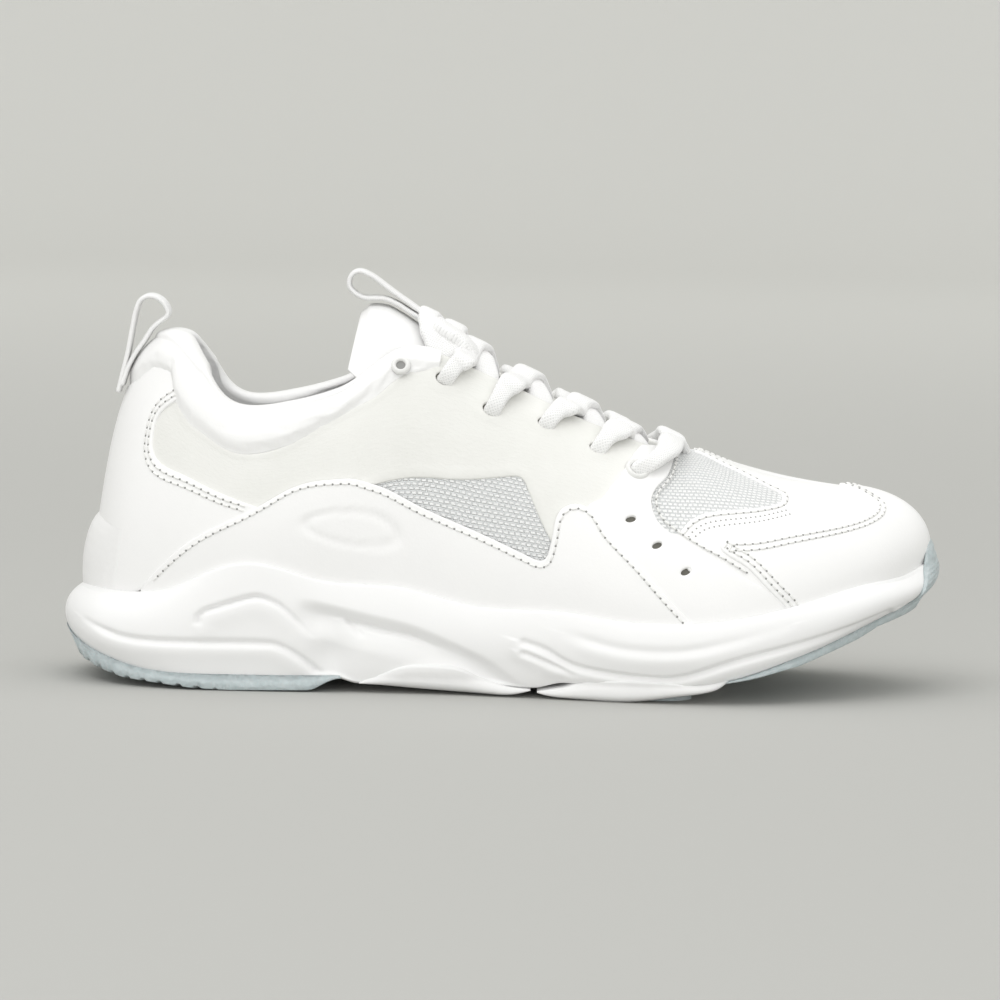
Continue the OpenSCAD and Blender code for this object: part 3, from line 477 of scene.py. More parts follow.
def plain_material(name, color, rough=0.5, scale=800.0, bump=0.1):
    mat, nodes, links = new_material(name)
    b = nodes["Principled BSDF"]
    v = coords(nodes, links)
    drift = noise(nodes, links, v, 60.0)
    links.new(ramp(nodes, links, drift, [(0.3, tuple(c * 0.93 for c in color)), (0.7, color)]),
              b.inputs["Base Color"])
    links.new(link_bump(nodes, links, noise(nodes, links, v, scale), bump, 0.0002), b.inputs["Normal"])
    b.inputs["Roughness"].default_value = rough
    return mat


M = {
    "overlay": leather("overlay_leather", 0.915),
    "padded": leather("padded_leather", 0.90, grain=700.0, bump=0.16),
    "film": film_material(),
    "quarter_knit": knit_material("quarter_knit", (0.96, 0.965, 0.96), (0.83, 0.85, 0.85), cell=(1.9, 1.2), gap=0.33, depth=1.0),
    "toe_knit": knit_material("toe_knit", (0.94, 0.945, 0.94), (0.76, 0.78, 0.78), cell=(2.2, 1.3), gap=0.3, depth=0.8),
    "lining": textile("lining_textile", 0.80),
    "insole": textile("insole_textile", 0.70, scale=1100.0),
    "foam": foam_material("sole_foam"),
    "rubber": rubber_material("sole_rubber"),
    "lace": braid_material("lace_braid", 0.92),
    "web": braid_material("loop_webbing", 0.90, pitch=(2.2, 2.2), depth=0.35),
    "thread": plain_material("sewing_thread", (0.88, 0.88, 0.86), 0.7),
    # dark grey of painted shade, used for needle holes, toe perforations and the top eyelet's bore
    "hole": plain_material("needle_hole_shade", (0.30, 0.30, 0.29), 0.9),
    "eyelet": plain_material("eyelet_plastic", (0.84, 0.84, 0.82), 0.35),
    "cup": leather("heel_cup_moulded", 0.88, grain=380.0, bump=0.35),
    "inside": plain_material("hidden_structure", (0.75, 0.73, 0.68), 0.8),
    "dark": plain_material("hole_shadow", (0.15, 0.145, 0.125), 0.95),
}


# ---------------------------------------------------------------- mesh building
def add_mesh(name, points, faces, material, uv=None, body="shoe", replaces=(), smooth_faces=True):
    """Points in shoe millimetres; uv per vertex in millimetres."""
    me = bpy.data.meshes.new(name)
    me.from_pydata(out(points).tolist(), [], [list(f) for f in faces])
    me.validate()
    if smooth_faces:
        me.polygons.foreach_set("use_smooth", [True] * len(me.polygons))
    if uv is not None:
        layer = me.uv_layers.new(name="UVMap")
        idx = np.zeros(len(me.loops), int)
        me.loops.foreach_get("vertex_index", idx)
        layer.data.foreach_set("uv", np.asarray(uv, float)[idx].ravel())
    me.materials.append(M[material])
    ob = bpy.data.objects.new(name, me)
    bpy.context.scene.collection.objects.link(ob)
    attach(ob, body)
    if replaces:
        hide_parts(*replaces)
    return ob


def grid_faces(n, m, closed_rows=False, closed_cols=False, flip=False, offset=0):
    faces = []
    for i in range(n if closed_rows else n - 1):
        for j in range(m if closed_cols else m - 1):
            a, b = i * m + j, i * m + (j + 1) % m
            c, d = ((i + 1) % n) * m + (j + 1) % m, ((i + 1) % n) * m + j
            f = (a, b, c, d) if not flip else (a, d, c, b)
            faces.append(tuple(k + offset for k in f))
    return faces


def spline(points, step=None, count=None, closed=False):
    """Catmull-Rom through a polyline, resampled evenly by length."""
    p = np.asarray(points, float)
    n = len(p)
    if n == 2 and not closed:
        dense = p[0] + (p[1] - p[0]) * np.linspace(0, 1, 30)[:, None]
    else:
        dense = []
        segs = n if closed else n - 1
        for i in range(segs):
            if closed:
                q = [p[(i + k) % n] for k in (-1, 0, 1, 2)]
            else:
                q = [p[max(i - 1, 0)], p[i], p[i + 1], p[min(i + 2, n - 1)]]
            f = np.linspace(0, 1, 16, endpoint=False)[:, None]
            dense.append(0.5 * (2 * q[1] + (q[2] - q[0]) * f + (2 * q[0] - 5 * q[1] + 4 * q[2] - q[3]) * f ** 2
                                + (3 * q[1] - q[0] - 3 * q[2] + q[3]) * f ** 3))
        dense = np.concatenate(dense + [[p[0] if closed else p[-1]]])
    seg = np.linalg.norm(np.diff(dense, axis=0), axis=1)
    s = np.concatenate([[0], np.cumsum(seg)])
    k = count if count else max(2, int(round(s[-1] / step)) + 1)
    x = np.linspace(0, s[-1], k)
    return np.stack([np.interp(x, s, dense[:, c]) for c in range(p.shape[1])], axis=1)


U_MM, T_MM = 25.5, 78.0
DOMAIN = np.array([U_MM, T_MM])


def inside(poly, pts):
    """Even-odd test of points against a polygon."""
    x, y = pts[:, 0], pts[:, 1]
    res = np.zeros(len(pts), bool)
    q = np.roll(poly, -1, axis=0)
    for (x0, y0), (x1, y1) in zip(poly, q):
        c = (y0 > y) != (y1 > y)
        with np.errstate(divide="ignore", invalid="ignore"):
            res ^= c & (x < (x1 - x0) * (y - y0) / (y1 - y0) + x0)
    return res


def line_distance(poly, pts, closed=True):
    """Distance from points to a polyline."""
    q = np.roll(poly, -1, axis=0) if closed else poly[1:]
    p = poly if closed else poly[:-1]
    best = np.full(len(pts), 1e9)
    for a, b in zip(p, q):
        d = b - a
        l2 = float(d @ d)
        if l2 < 1e-12:
            continue
        s = np.clip(((pts - a) @ d) / l2, 0, 1)
        best = np.minimum(best, np.linalg.norm(pts - a - s[:, None] * d, axis=1))
    return best


def panel(name, curves, material, replaces=(), holes=(), top=0.3, low=-0.95, round_edge=0.55, pitch=1.7,
          shape=None, seam_open=False, body="shoe", flat_edge=None):
    """Sheet on the upper inside an outline given as curves of [station, share]; returns its object."""
    border = []
    for c in curves:
        q = np.asarray(c, float) * DOMAIN
        r = spline(q, step=1.0)
        border.append(r[:-1])
    border = np.concatenate(border)
    rings = [border] + [spline(np.asarray(h, float) * DOMAIN, step=0.7, closed=True)[:-1] for h in holes]
    solid = [r for r in rings]
    if seam_open:
        keep_edge = ~((np.abs(border[:, 1] - T_MM) < 0.02))
    lo, hi = border.min(0), border.max(0)
    xs = np.arange(lo[0], hi[0], pitch)
    ys = np.arange(lo[1], hi[1], pitch * 0.866)
    gx, gy = np.meshgrid(xs, ys)
    gx = gx + (np.arange(len(ys)) % 2)[:, None] * pitch / 2
    pts = np.stack([gx.ravel(), gy.ravel()], axis=1)
    near = np.minimum.reduce([line_distance(r, pts) for r in rings])
    ok = inside(border, pts) & (near > 1.25)
    for r in rings[1:]:
        ok &= ~inside(r, pts)
    pts = pts[ok]
    extra = []
    for k, r in enumerate(rings):
        nxt, prv = np.roll(r, -1, axis=0), np.roll(r, 1, axis=0)
        tan = nxt - prv
        tan /= np.maximum(np.linalg.norm(tan, axis=1, keepdims=True), 1e-9)
        nor = np.stack([-tan[:, 1], tan[:, 0]], axis=1)
        for off in (0.16, 0.42, 0.85):
            for sg in (1, -1):
                c = r + nor * off * sg
                good = inside(border, c)
                for h in rings[1:]:
                    good &= ~inside(h, c)
                dd = np.minimum.reduce([line_distance(x, c) for x in rings])
                good &= dd > off * 0.93
                extra.append(c[good][:: (1 if off < 0.5 else 2)])
    extra = np.concatenate(extra)
    allp = np.concatenate(solid + [extra, pts])
    edges, start = [], 0
    for r in solid:
        n = len(r)
        edges += [(start + i, start + (i + 1) % n) for i in range(n)]
        start += n
    res = delaunay_2d_cdt([Vector((float(a), float(b))) for a, b in allp], edges, [], 0, 1e-5)
    v2 = np.array([[v.x, v.y] for v in res[0]])
    tri = np.array([f for f in res[2]], dtype=object)
    tri = np.array([list(f) for f in res[2] if len(f) == 3], int)
    cen = v2[tri].mean(axis=1)
    good = inside(border, cen)
    for h in rings[1:]:
        good &= ~inside(h, cen)
    tri = tri[good]
    # orientation: outward is u decreasing x t increasing
    a, b, c = v2[tri[:, 0]], v2[tri[:, 1]], v2[tri[:, 2]]
    area = (b[:, 0] - a[:, 0]) * (c[:, 1] - a[:, 1]) - (b[:, 1] - a[:, 1]) * (c[:, 0] - a[:, 0])
    tri[area > 0] = tri[area > 0][:, ::-1]
    used = np.unique(tri)
    remap = -np.ones(len(v2), int)
    remap[used] = np.arange(len(used))
    v2, tri = v2[used], remap[tri]
    if seam_open:
        vis = [border[np.r_[i, (i + 1) % len(border)]] for i in range(len(border))
               if keep_edge[i] or keep_edge[(i + 1) % len(border)]]
        dist = np.full(len(v2), 1e9)
        for s in vis:
            dist = np.minimum(dist, line_distance(s, v2, closed=False))
        for r in rings[1:]:
            dist = np.minimum(dist, line_distance(r, v2))
    else:
        dist = np.minimum.reduce([line_distance(r, v2) for r in rings])
    uv = v2 / DOMAIN
    drop = round_edge - np.sqrt(np.maximum(round_edge ** 2 - np.maximum(round_edge - dist, 0) ** 2, 0))
    d = top - drop
    if shape is not None:
        d = d + shape(uv[:, 0], uv[:, 1], dist)
    pos = at(uv[:, 0], np.clip(uv[:, 1], 0, 1), d)
    # skirt from every open edge down to the layer below
    count_edges = {}
    for t in tri:
        for i in range(3):
            e = (int(t[i]), int(t[(i + 1) % 3]))
            count_edges[e] = 1
    rim = [e for e in count_edges if (e[1], e[0]) not in count_edges]
    if seam_open:
        rim = [e for e in rim if not (abs(v2[e[0], 1] - T_MM) < 0.02 and abs(v2[e[1], 1] - T_MM) < 0.02
                                      and abs(v2[e[0], 0] / U_MM) < 4.02 and abs(v2[e[1], 0] / U_MM) < 4.02)]
    idx = sorted({i for e in rim for i in e})
    low_at = {i: len(pos) + k for k, i in enumerate(idx)}
    low_pos = at(uv[idx, 0], np.clip(uv[idx, 1], 0, 1), np.full(len(idx), low))
    allpos = np.concatenate([pos, low_pos])
    alluv = np.concatenate([v2, v2[idx]])
    faces = [tuple(t) for t in tri.tolist()] + [(e[1], e[0], low_at[e[0]], low_at[e[1]]) for e in rim]
    ob = add_mesh(name, allpos, faces, material, uv=alluv, replaces=replaces, body=body)
    if seam_open:
        weld(ob)
    return ob


def weld(ob, distance=0.00003):
    import bmesh
    bm = bmesh.new()
    bm.from_mesh(ob.data)
    bmesh.ops.remove_doubles(bm, verts=bm.verts, dist=distance)
    bm.to_mesh(ob.data)
    bm.free()


def other(curves):
    """The same outline on the medial side."""
    return [[(COUNT - u, t) for (u, t) in c][::-1] for c in curves][::-1]


def other_toe(curve):
    return [(-u, t) for (u, t) in curve][::-1]


def shifted(curve, distance):
    """A [station, share] line moved sideways by millimetres on the surface."""
    p = spline(np.asarray(curve, float) * DOMAIN, step=0.8)
    tan = np.gradient(p, axis=0)
    tan /= np.linalg.norm(tan, axis=1, keepdims=True)
    return (p + distance * np.stack([-tan[:, 1], tan[:, 0]], axis=1)) / DOMAIN


ROUND = np.linspace(0, 2 * math.pi, 20, endpoint=False)


def rounded(power_x, power_y):
    """Closed profile between a rectangle and an ellipse, one unit wide and high."""
    c, s = np.cos(ROUND), np.sin(ROUND)
    return np.stack([0.5 * np.sign(c) * np.abs(c) ** power_x, 0.5 * np.sign(s) * np.abs(s) ** power_y], axis=1)


def sweep(path, across, wide, thick, profile, closed=False):
    """Points, faces and uv of a profile carried along a path; across is the profile's wide direction."""
    p = np.asarray(path, float)
    n, m = len(p), len(profile)
    tan = (np.roll(p, -1, 0) - np.roll(p, 1, 0)) if closed else np.gradient(p, axis=0)
    tan /= np.linalg.norm(tan, axis=1, keepdims=True)
    a = np.broadcast_to(np.asarray(across, float), p.shape)
    a = a - (a * tan).sum(1, keepdims=True) * tan
    a /= np.linalg.norm(a, axis=1, keepdims=True)
    h = np.cross(tan, a)
    w = np.broadcast_to(wide, (n,))[:, None, None]
    k = np.broadcast_to(thick, (n,))[:, None, None]
    pts = p[:, None] + profile[:, 0][None, :, None] * w * a[:, None] + profile[:, 1][None, :, None] * k * h[:, None]
    length = np.concatenate([[0], np.cumsum(np.linalg.norm(np.diff(p, axis=0), axis=1))])
    uv = np.stack([np.repeat(length, m), (profile[:, 0][None] * w[:, :, 0]).ravel()], axis=1)
    faces = grid_faces(n, m, closed_rows=closed, closed_cols=True)
    if not closed:
        faces += [tuple(range(m))[::-1], tuple(range((n - 1) * m, n * m))]
    return pts.reshape(-1, 3), faces, uv


def joined(parts):
    """Several (points, faces, uv) lists as one."""
    pts, faces, uv, at_vertex = [], [], [], 0
    for p, f, t in parts:
        pts.append(p)
        uv.append(t)
        faces += [tuple(i + at_vertex for i in one) for one in f]
        at_vertex += len(p)
    return np.concatenate(pts), faces, np.concatenate(uv)


# ---------------------------------------------------------------- sole
CUP_CLEAR = 0.35
LIP_WIDTH = 1.9
SPINE = (1.8, 11.6)


def folded(u):
    v = np.mod(u, COUNT)
    return np.clip(np.where(v > COUNT / 2, COUNT - v, v), *SPINE)


def underside(u, w):
    v = folded(u)
    middle = (along(SOLE_EDGE, v) + along(SOLE_EDGE, COUNT - v)) / 2
    return along(SOLE_EDGE, u) * (1 - w) + middle * w


def arch_drop(x):
    """How far the foam hangs down between the pods under the arch."""
    return 2.1 * smooth(x, 88, 97) * (1 - smooth(x, 152, 162))


def wall(u, s):
    """Side wall of the sole from its lower edge (0) to its lip (1)."""
    edge, wide = along(SOLE_EDGE, u), along(SOLE_OUTLINE, u)
    lip = at(u, along(LIP_SHARE, u), CUP_CLEAR + LIP_WIDTH)
    push = (8 * wide - edge[..., :2] - lip[..., :2]) / 6
    rise = lip[..., 2] - edge[..., 2]
    p1 = np.concatenate([push, (edge[..., 2] + 0.3 * rise)[..., None]], axis=-1)
    p2 = np.concatenate([push, (edge[..., 2] + 0.75 * rise)[..., None]], axis=-1)
    s = np.asarray(s, float)[..., None]
    r = 1 - s
    return r ** 3 * edge + 3 * s * r * r * p1 + 3 * s * s * r * p2 + s ** 3 * lip


def track(line, x, z):
    """Signed distance above a side-view line, and the share of its length where it is nearest."""
    p = spline(line, step=2.0)
    seg = np.linalg.norm(np.diff(p, axis=0), axis=1)
    run = np.concatenate([[0], np.cumsum(seg)])
    best, share, sign = np.full(x.shape, 1e9), np.zeros(x.shape), np.zeros(x.shape)
    for a, b, r, g in zip(p[:-1], p[1:], run[:-1], seg):
        d = (b - a) / g
        k = np.clip((x - a[0]) * d[0] + (z - a[1]) * d[1], 0, g)
        ex, ez = x - a[0] - k * d[0], z - a[1] - k * d[1]
        dist = np.hypot(ex, ez)
        near = dist < best
        best = np.where(near, dist, best)
        share = np.where(near, (r + k) / run[-1], share)
        sign = np.where(near, np.sign(d[0] * ez - d[1] * ex), sign)
    return best * sign, share


HOOK = [(45.6, 22.1), (46.8, 25), (54.1, 27.7), (62, 30.1), (65.8, 30.2), (71.5, 27.8), (76.7, 23.1), (81.8, 18.4)]
HEEL_LINE = [(9, 20.3), (18.3, 16.9), (26.8, 15.6), (39.9, 15.4), (66, 15.5), (71.7, 14.7), (78.2, 11), (84, 5.7)]
CHANNEL = [(76, 30.9), (87.4, 28.4), (100.1, 25.5), (112.9, 22.7), (122.5, 19.2), (135.3, 13.7), (148.1, 6.9), (156, 3)]
BRANCH = [(93.6, 22.9), (103.4, 20.5), (113, 18.5), (121, 15)]
NOTCH = [(93.8, 22.8), (98.7, 17.2)]
SHORT_RIB = [(149.2, 14.9), (155.9, 12.4), (164.8, 8.7)]
LONG_RIB = [(149.1, 18.4), (155.8, 16.2), (166, 11), (186.2, 8.2), (198.4, 8.6), (216.3, 14.5), (236.5, 19.5),
            (252.2, 23.8), (266, 28.2)]
UPPER_RIB = [(163, 21.5), (180, 17.5), (198, 17.2), (214, 20.5), (232, 25.5)]


def groove(line, x, z, depth, width, fade=(0.0, 0.0), ledge=0.0, ledge_width=4.0):
    """Cut along a line, with a soft swelling under it; fade is the depth kept at its start and end."""
    d, s = track(line, x, z)
    keep = fade[0] + (1 - fade[0]) * smooth(s, 0, 0.12)
    keep = keep * (fade[1] + (1 - fade[1]) * (1 - smooth(s, 0.55, 1.0)))
    cut = -depth * np.exp(-(d / width) ** 2)
    swell = ledge * np.exp(-((d + 0.9 * ledge_width) / ledge_width) ** 2)
    return (cut + swell) * keep


def sole_relief(x, z):
    r = groove(HOOK, x, z, 1.6, 0.75, (1.0, 0.15), 0.45, 3.4)
    r = r + groove(HEEL_LINE, x, z, 1.5, 0.95, (0.2, 0.8), 0.5, 3.0)
    d, s = track(CHANNEL, x, z)
    fall = np.where(d > -4.2, -2.7 * smooth(-d, -0.5, 4.2), -2.7 * (1 - smooth(-d, 4.2, 12.5)))
    r = r + fall * smooth(s, 0.0, 0.12) * (1 - 0.55 * smooth(s, 0.6, 1.0))
    r = r + groove(BRANCH, x, z, 1.5, 0.85, (1.0, 0.2), 0.7, 3.0)
    r = r + groove(NOTCH, x, z, 0.9, 0.8, (1.0, 0.0))
    r = r + groove(SHORT_RIB, x, z, 1.3, 0.8, (1.0, 0.3), 0.4, 2.0)
    r = r + groove(LONG_RIB, x, z, 1.5, 0.95, (0.9, 0.6), 0.6, 3.0)
    r = r + groove(UPPER_RIB, x, z, 0.7, 1.6, (0.2, 0.2), 0.5, 3.0)
    return r - 2.6 * np.exp(-((x - 88) / 6.5) ** 2 - ((z - 12) / 8.0) ** 2)


def make_midsole():
    steps, rows = 720, 60
    u = np.linspace(0, COUNT, steps, endpoint=False)
    s = np.linspace(0, 1, rows)
    uu, ss = np.meshgrid(u, s, indexing="ij")
    side = wall(uu, ss)
    du = np.roll(side, -1, 0) - np.roll(side, 1, 0)
    ds = np.gradient(side, axis=1)
    n = np.cross(ds, du)
    n /= np.linalg.norm(n, axis=-1, keepdims=True)
    mid = side.mean(axis=(0, 1))
    if ((side - mid) * n).sum(-1).mean() < 0:
        n = -n
    hold = smooth(ss, 0.0, 0.06) * (1 - smooth(ss, 0.9, 1.0))
    side = side + n * (sole_relief(side[..., 0], side[..., 2]) * hold)[..., None]
    side[..., 2] -= arch_drop(side[..., 0]) * (1 - smooth(ss, 0.0, 0.3))
    # soft corners at the lower edge and the lip
    side[:, 0] += (underside(u, 0.04) - side[:, 0]) * 0.6 + [0, 0, 0.5]
    share = along(LIP_SHARE, u)
    bottom = [underside(u, w) for w in (1.0, 0.7, 0.4, 0.15, 0.06)]
    for row in bottom:
        row[:, 2] -= arch_drop(row[:, 0])
    top = [at(u, share + k, d) for k, d in ((0.008, 1.9), (0.009, 1.1), (0.003, 0.4), (-0.02, 0.1))]
    rings = np.stack(bottom + [side[:, j] for j in range(rows)] + top, axis=1)
    m = rings.shape[1]
    weld(add_mesh("midsole_shell", rings.reshape(-1, 3), grid_faces(steps, m, closed_rows=True), "foam",
                  replaces=["midsole"]))


def wall_reach(x, z, lateral):
    """Sideways place of the sole wall at a side-view point."""
    u = np.linspace(2.2, 11.6, 160)
    u = u if lateral else COUNT - u
    s = np.linspace(0, 1, 30)
    uu, ss = np.meshgrid(u, s, indexing="ij")
    p = wall(uu, ss)
    flat = p.reshape(-1, 3)
    d = (flat[None, :, 0] - np.ravel(x)[:, None]) ** 2 + (flat[None, :, 2] - np.ravel(z)[:, None]) ** 2
    near = np.argsort(d, axis=1)[:, :4]
    w = 1 / (np.take_along_axis(d, near, 1) + 0.05)
    return ((flat[near, 1] * w).sum(1) / w.sum(1)).reshape(np.shape(x))


def make_pod(name, node, top_line, bottom_line):
    """Foam pod under the sole, showing a lens-shaped side face."""
    n, m = 46, 10
    x = np.linspace(top_line[0][0], top_line[-1][0], n)
    top, low = spline(top_line, count=200), spline(bottom_line, count=200)
    zt = np.interp(x, top[:, 0], top[:, 1])
    zb = np.minimum(np.interp(x, low[:, 0], low[:, 1]), zt - 0.25)
    k = np.linspace(0, 1, m)
    xx = np.repeat(x[:, None], m, 1)
    zz = zt[:, None] * (1 - k) + zb[:, None] * k
    tall = np.clip((zt - zb) / 4, 0, 1)[:, None]
    swell = (0.25 + 1.0 * np.sin(math.pi * np.clip(k * 0.85 + 0.1, 0, 1))) * tall + 0.1
    tuck = 2.2 * np.clip(k - 0.72, 0, 1) ** 2 / 0.28 ** 2 * tall
    lat = np.stack([xx, wall_reach(xx, np.maximum(zz, 5.4), True) - swell + tuck, zz], axis=-1)
    med = np.stack([xx, wall_reach(xx, np.maximum(zz, 5.4), False) + swell - tuck, zz], axis=-1)
    cross = np.linspace(0, 1, 14)[1:-1]
    flat = np.stack([lat[:, -1] * (1 - c) + med[:, -1] * c + [0, 0, 0] for c in cross], axis=1)
    flat[:, :, 2] -= 0.05 * np.sin(math.pi * cross)[None]
    back = [lat[:, 0] * (1 - c) + med[:, 0] * c + np.array([0, 0, 0.3]) for c in (0.94, 0.5, 0.06)]
    rings = np.concatenate([lat, flat, med[:, ::-1], np.stack(back, axis=1)], axis=1)
    r = rings.shape[1]
    faces = grid_faces(n, r, closed_cols=True)
    faces += [tuple(range(r))[::-1], tuple(range((n - 1) * r, n * r))]
    ob = add_mesh(name, rings.reshape(-1, 3), faces, "foam", replaces=[node])
    turn_out(ob)


def turn_out(ob):
    """Faces of a closed mesh turned outward."""
    import bmesh
    bm = bmesh.new()
    bm.from_mesh(ob.data)
    bmesh.ops.recalc_face_normals(bm, faces=bm.faces)
    bm.to_mesh(ob.data)
    bm.free()


HEEL_DEPTH = [(0.4, 13.6), (6.5, 7.0), (13.4, 4.7), (21.2, 2.6), (33, 1.6), (44.3, 0.5), (55.5, 0.1), (83, 0.5), (92, 1.9)]
TOE_DEPTH = [(205, 5.2), (214, 5.6), (222, 8.4), (230, 10.6), (236, 12), (244, 15), (256, 19.3), (263, 22.6),
             (273, 24.9), (278, 26.5), (286, 30)]


def make_rubber(name, nodes, u_range, depth, lug_pitch, rim_rise):
    """Rubber outsole round one end of the sole, its edge standing a little proud, with lugs underneath."""
    u = np.linspace(*u_range, 230)
    reach = (u_range[1] - u_range[0]) / 2
    depth = np.array(depth, float)
    taper = smooth(reach - np.abs(u - (u_range[0] + u_range[1]) / 2), 0.0, 0.45)
    shares = np.concatenate([[-0.045, -0.035, 0.0], np.linspace(0.02, 1, 36)])
    top, low = [], []
    for w in shares:
        p = underside(u, w)
        cut = (np.mod(p[:, 0] + 0.55 * np.abs(p[:, 1]), lug_pitch) < 2.0) & ((w > 0.05) | (p[:, 0] < 52))
        z = np.minimum(p[:, 2] - 1.0, np.interp(p[:, 0], depth[:, 0], depth[:, 1]))
        z = z * taper + (p[:, 2] - 0.3) * (1 - taper)
        z = z + np.where(cut, np.minimum(1.3 if w > 0.05 else 0.7, np.maximum(p[:, 2] - 0.9 - z, 0)), 0.0)
        inward = 0.5 if w == shares[0] else (0.15 if w == shares[1] else 0.0)
        low.append(np.column_stack([p[:, :2], z + inward]))
        rim = wall(u, 0.03 + rim_rise(p[:, 0]))
        out_of = rim - np.array([150, 0, 0])
        out_of[:, 2] = 0
        rim = rim + 0.5 * out_of / np.linalg.norm(out_of, axis=1, keepdims=True)
        top.append(rim if w < 0 else p - [0, 0, 0.12])
    rings = np.stack(low[::-1] + top, axis=1)
    r = rings.shape[1]
    n = len(u)
    faces = grid_faces(n, r, closed_cols=True)
    faces += [tuple(range(r))[::-1], tuple(range((n - 1) * r, n * r))]
    ob = add_mesh(name, rings.reshape(-1, 3), faces, "rubber", replaces=nodes)
    weld(ob)
    turn_out(ob)


def make_bumper():
    n, m = 90, 40
    u = np.linspace(-1.0, 0.95, n)
    reach = 0.42 + 0.86 * np.clip(1 - (np.abs(u + 0.025) / 0.98) ** 2, 0, 1) ** 0.8
    pts = []
    for thick in (1.25, 0.1):
        for k in np.linspace(0, 1, m):
            s = 0.02 + k * (reach - 0.02)
            p = wall(u, np.minimum(s, 1.0))
            away = p - np.array([250, 8, 0])
            away[:, 2] = 0
            away /= np.linalg.norm(away, axis=1, keepdims=True)
            rib = 0.16 * (np.mod(s * 9, 1.0) < 0.35) * (thick > 1)
            edge = 1 - smooth(k, 0.93, 1.0) * 0.55
            p = p + away * ((thick - rib) * edge)[:, None]
            over = np.maximum(s - 1.0, 0)[:, None]
            p = p + over * np.array([0, 0, 28]) - over * away * 9
            pts.append(p)
    pts = pts[:m] + pts[m:][::-1]
    rings = np.stack(pts, axis=1)
    r = rings.shape[1]
    faces = grid_faces(n, r, closed_cols=True)
    faces += [tuple(range(r))[::-1], tuple(range((n - 1) * r, n * r))]
    ob = add_mesh("toe_bumper_strip", rings.reshape(-1, 3), faces, "rubber",
                  replaces=["toe_bumper"])
    turn_out(ob)


def make_heel_cup():
    n, m = 80, 34
    u = np.linspace(11.75, 14.25, n)
    t = np.linspace(0.03, 0.285, m)
    uu, tt = np.meshgrid(u, t, indexing="ij")
    side = 1 - smooth(np.abs(uu - 13), 0.0, 1.25)
    puff = np.interp(tt, [0.03, 0.08, 0.13, 0.17, 0.21, 0.245, 0.27, 0.285], [1.2, 2.4, 2.9, 2.9, 2.5, 1.7, 0.6, -0.4])
    p = at(uu, tt, 0.25 + (puff + 0.2) * side - 0.6 * smooth(np.abs(uu - 13), 1.1, 1.25))
    uv = np.stack([uu * U_MM, tt * T_MM], axis=-1)
    add_mesh("heel_cup_shell", p.reshape(-1, 3), grid_faces(n, m), "cup", uv=uv.reshape(-1, 2),
             replaces=["heel_cup"])


make_midsole()
make_pod("midfoot_pod_foam", "midfoot_pod",
         [(97, 3.4), (105.2, 6.8), (110, 8.8), (114.7, 9.6), (127.5, 9.2), (135.5, 6.0), (143.8, 3.6), (151.5, 2.9)],
         [(97, 3.0), (115.2, 1.8), (130.5, 1), (143.8, 0.6), (151.5, 2.4)])
make_pod("forefoot_pod_foam", "forefoot_pod",
         [(153.6, 2.4), (161.4, 3.9), (166.1, 5.5), (173.3, 6.8), (185.9, 7.2), (204.8, 6.4), (214.2, 8.4)],
         [(153.6, 1.9), (158, 0.8), (166.2, 0.2), (182.2, 0.1), (196.4, 2), (209.2, 4.4), (214.2, 8)])
make_rubber("heel_outsole_rubber", ["heel_outsole", "heel_tread"], (8.75, 17.25), HEEL_DEPTH, 6.5,
            lambda x: 0.2 * (1 - smooth(x, 3, 32)))
make_rubber("toe_outsole_rubber", ["toe_outsole"], (-3.95, 3.95), TOE_DEPTH, 9.0,
            lambda x: 0.3 * smooth(x, 262, 279))
make_bumper()
make_heel_cup()

# ---------------------------------------------------------------- upper panels
FILM_TOP, KNIT_TOP, TOE_KNIT_TOP = -0.7, -1.15, -0.75
HEEL_LEVEL, STRAP_LEVEL, TOE_LEVEL, QUARTER_LEVEL, GUARD_LEVEL = 0.1, 0.25, -0.1, 0.75, 0.7

QUARTER_EDGE = [[(11.42, 0.03), (11.28, 0.12), (10.55, 0.33), (9.78, 0.49), (9.33, 0.55), (8.78, 0.52), (8.38, 0.45),
                 (7.81, 0.36), (7.05, 0.31), (6.5, 0.265), (6.3, 0.25), (6.2, 0.265), (6.15, 0.33), (6.13, 0.4),
                 (6.06, 0.45), (5.9, 0.48), (5.72, 0.475), (5.58, 0.44), (5.44, 0.39), (5.02, 0.29), (4.62, 0.17),
                 (4.31, 0.07), (4.25, 0.03)],
                [(4.25, 0.03), (7.5, 0.02), (11.42, 0.03)]]
HEEL_FRONT = [(11.9, 0.03), (11.2, 0.1), (10.5, 0.28), (9.86, 0.42), (9.8, 0.47), (10.14, 0.52), (10.65, 0.54),
              (11.26, 0.55), (11.52, 0.58), (11.63, 0.64), (11.63, 0.72), (11.4, 0.8), (11.08, 0.89)]
HEEL_TOP = [(11.08, 0.89), (11.4, 0.93), (11.92, 0.92), (12.24, 0.87), (12.52, 0.8), (12.86, 0.76)]
STRAP_FRONT = [(4.6, 0.93), (4.7, 0.74), (4.9, 0.64), (4.95, 0.57), (4.84, 0.49), (4.63, 0.44), (4.23, 0.37),
               (3.95, 0.325), (3.6, 0.25), (3.3, 0.18), (3.0, 0.05)]
STRAP_BACK = [(4.55, 0.04), (4.85, 0.16), (5.25, 0.28), (5.6, 0.37), (5.78, 0.42), (5.74, 0.49), (5.6, 0.53), (5.5, 0.6),
              (5.39, 0.69), (5.29, 0.87)]
STRAP_TOP = [(5.29, 0.87), (5.25, 0.93), (5.05, 0.985), (4.8, 0.985), (4.6, 0.93)]
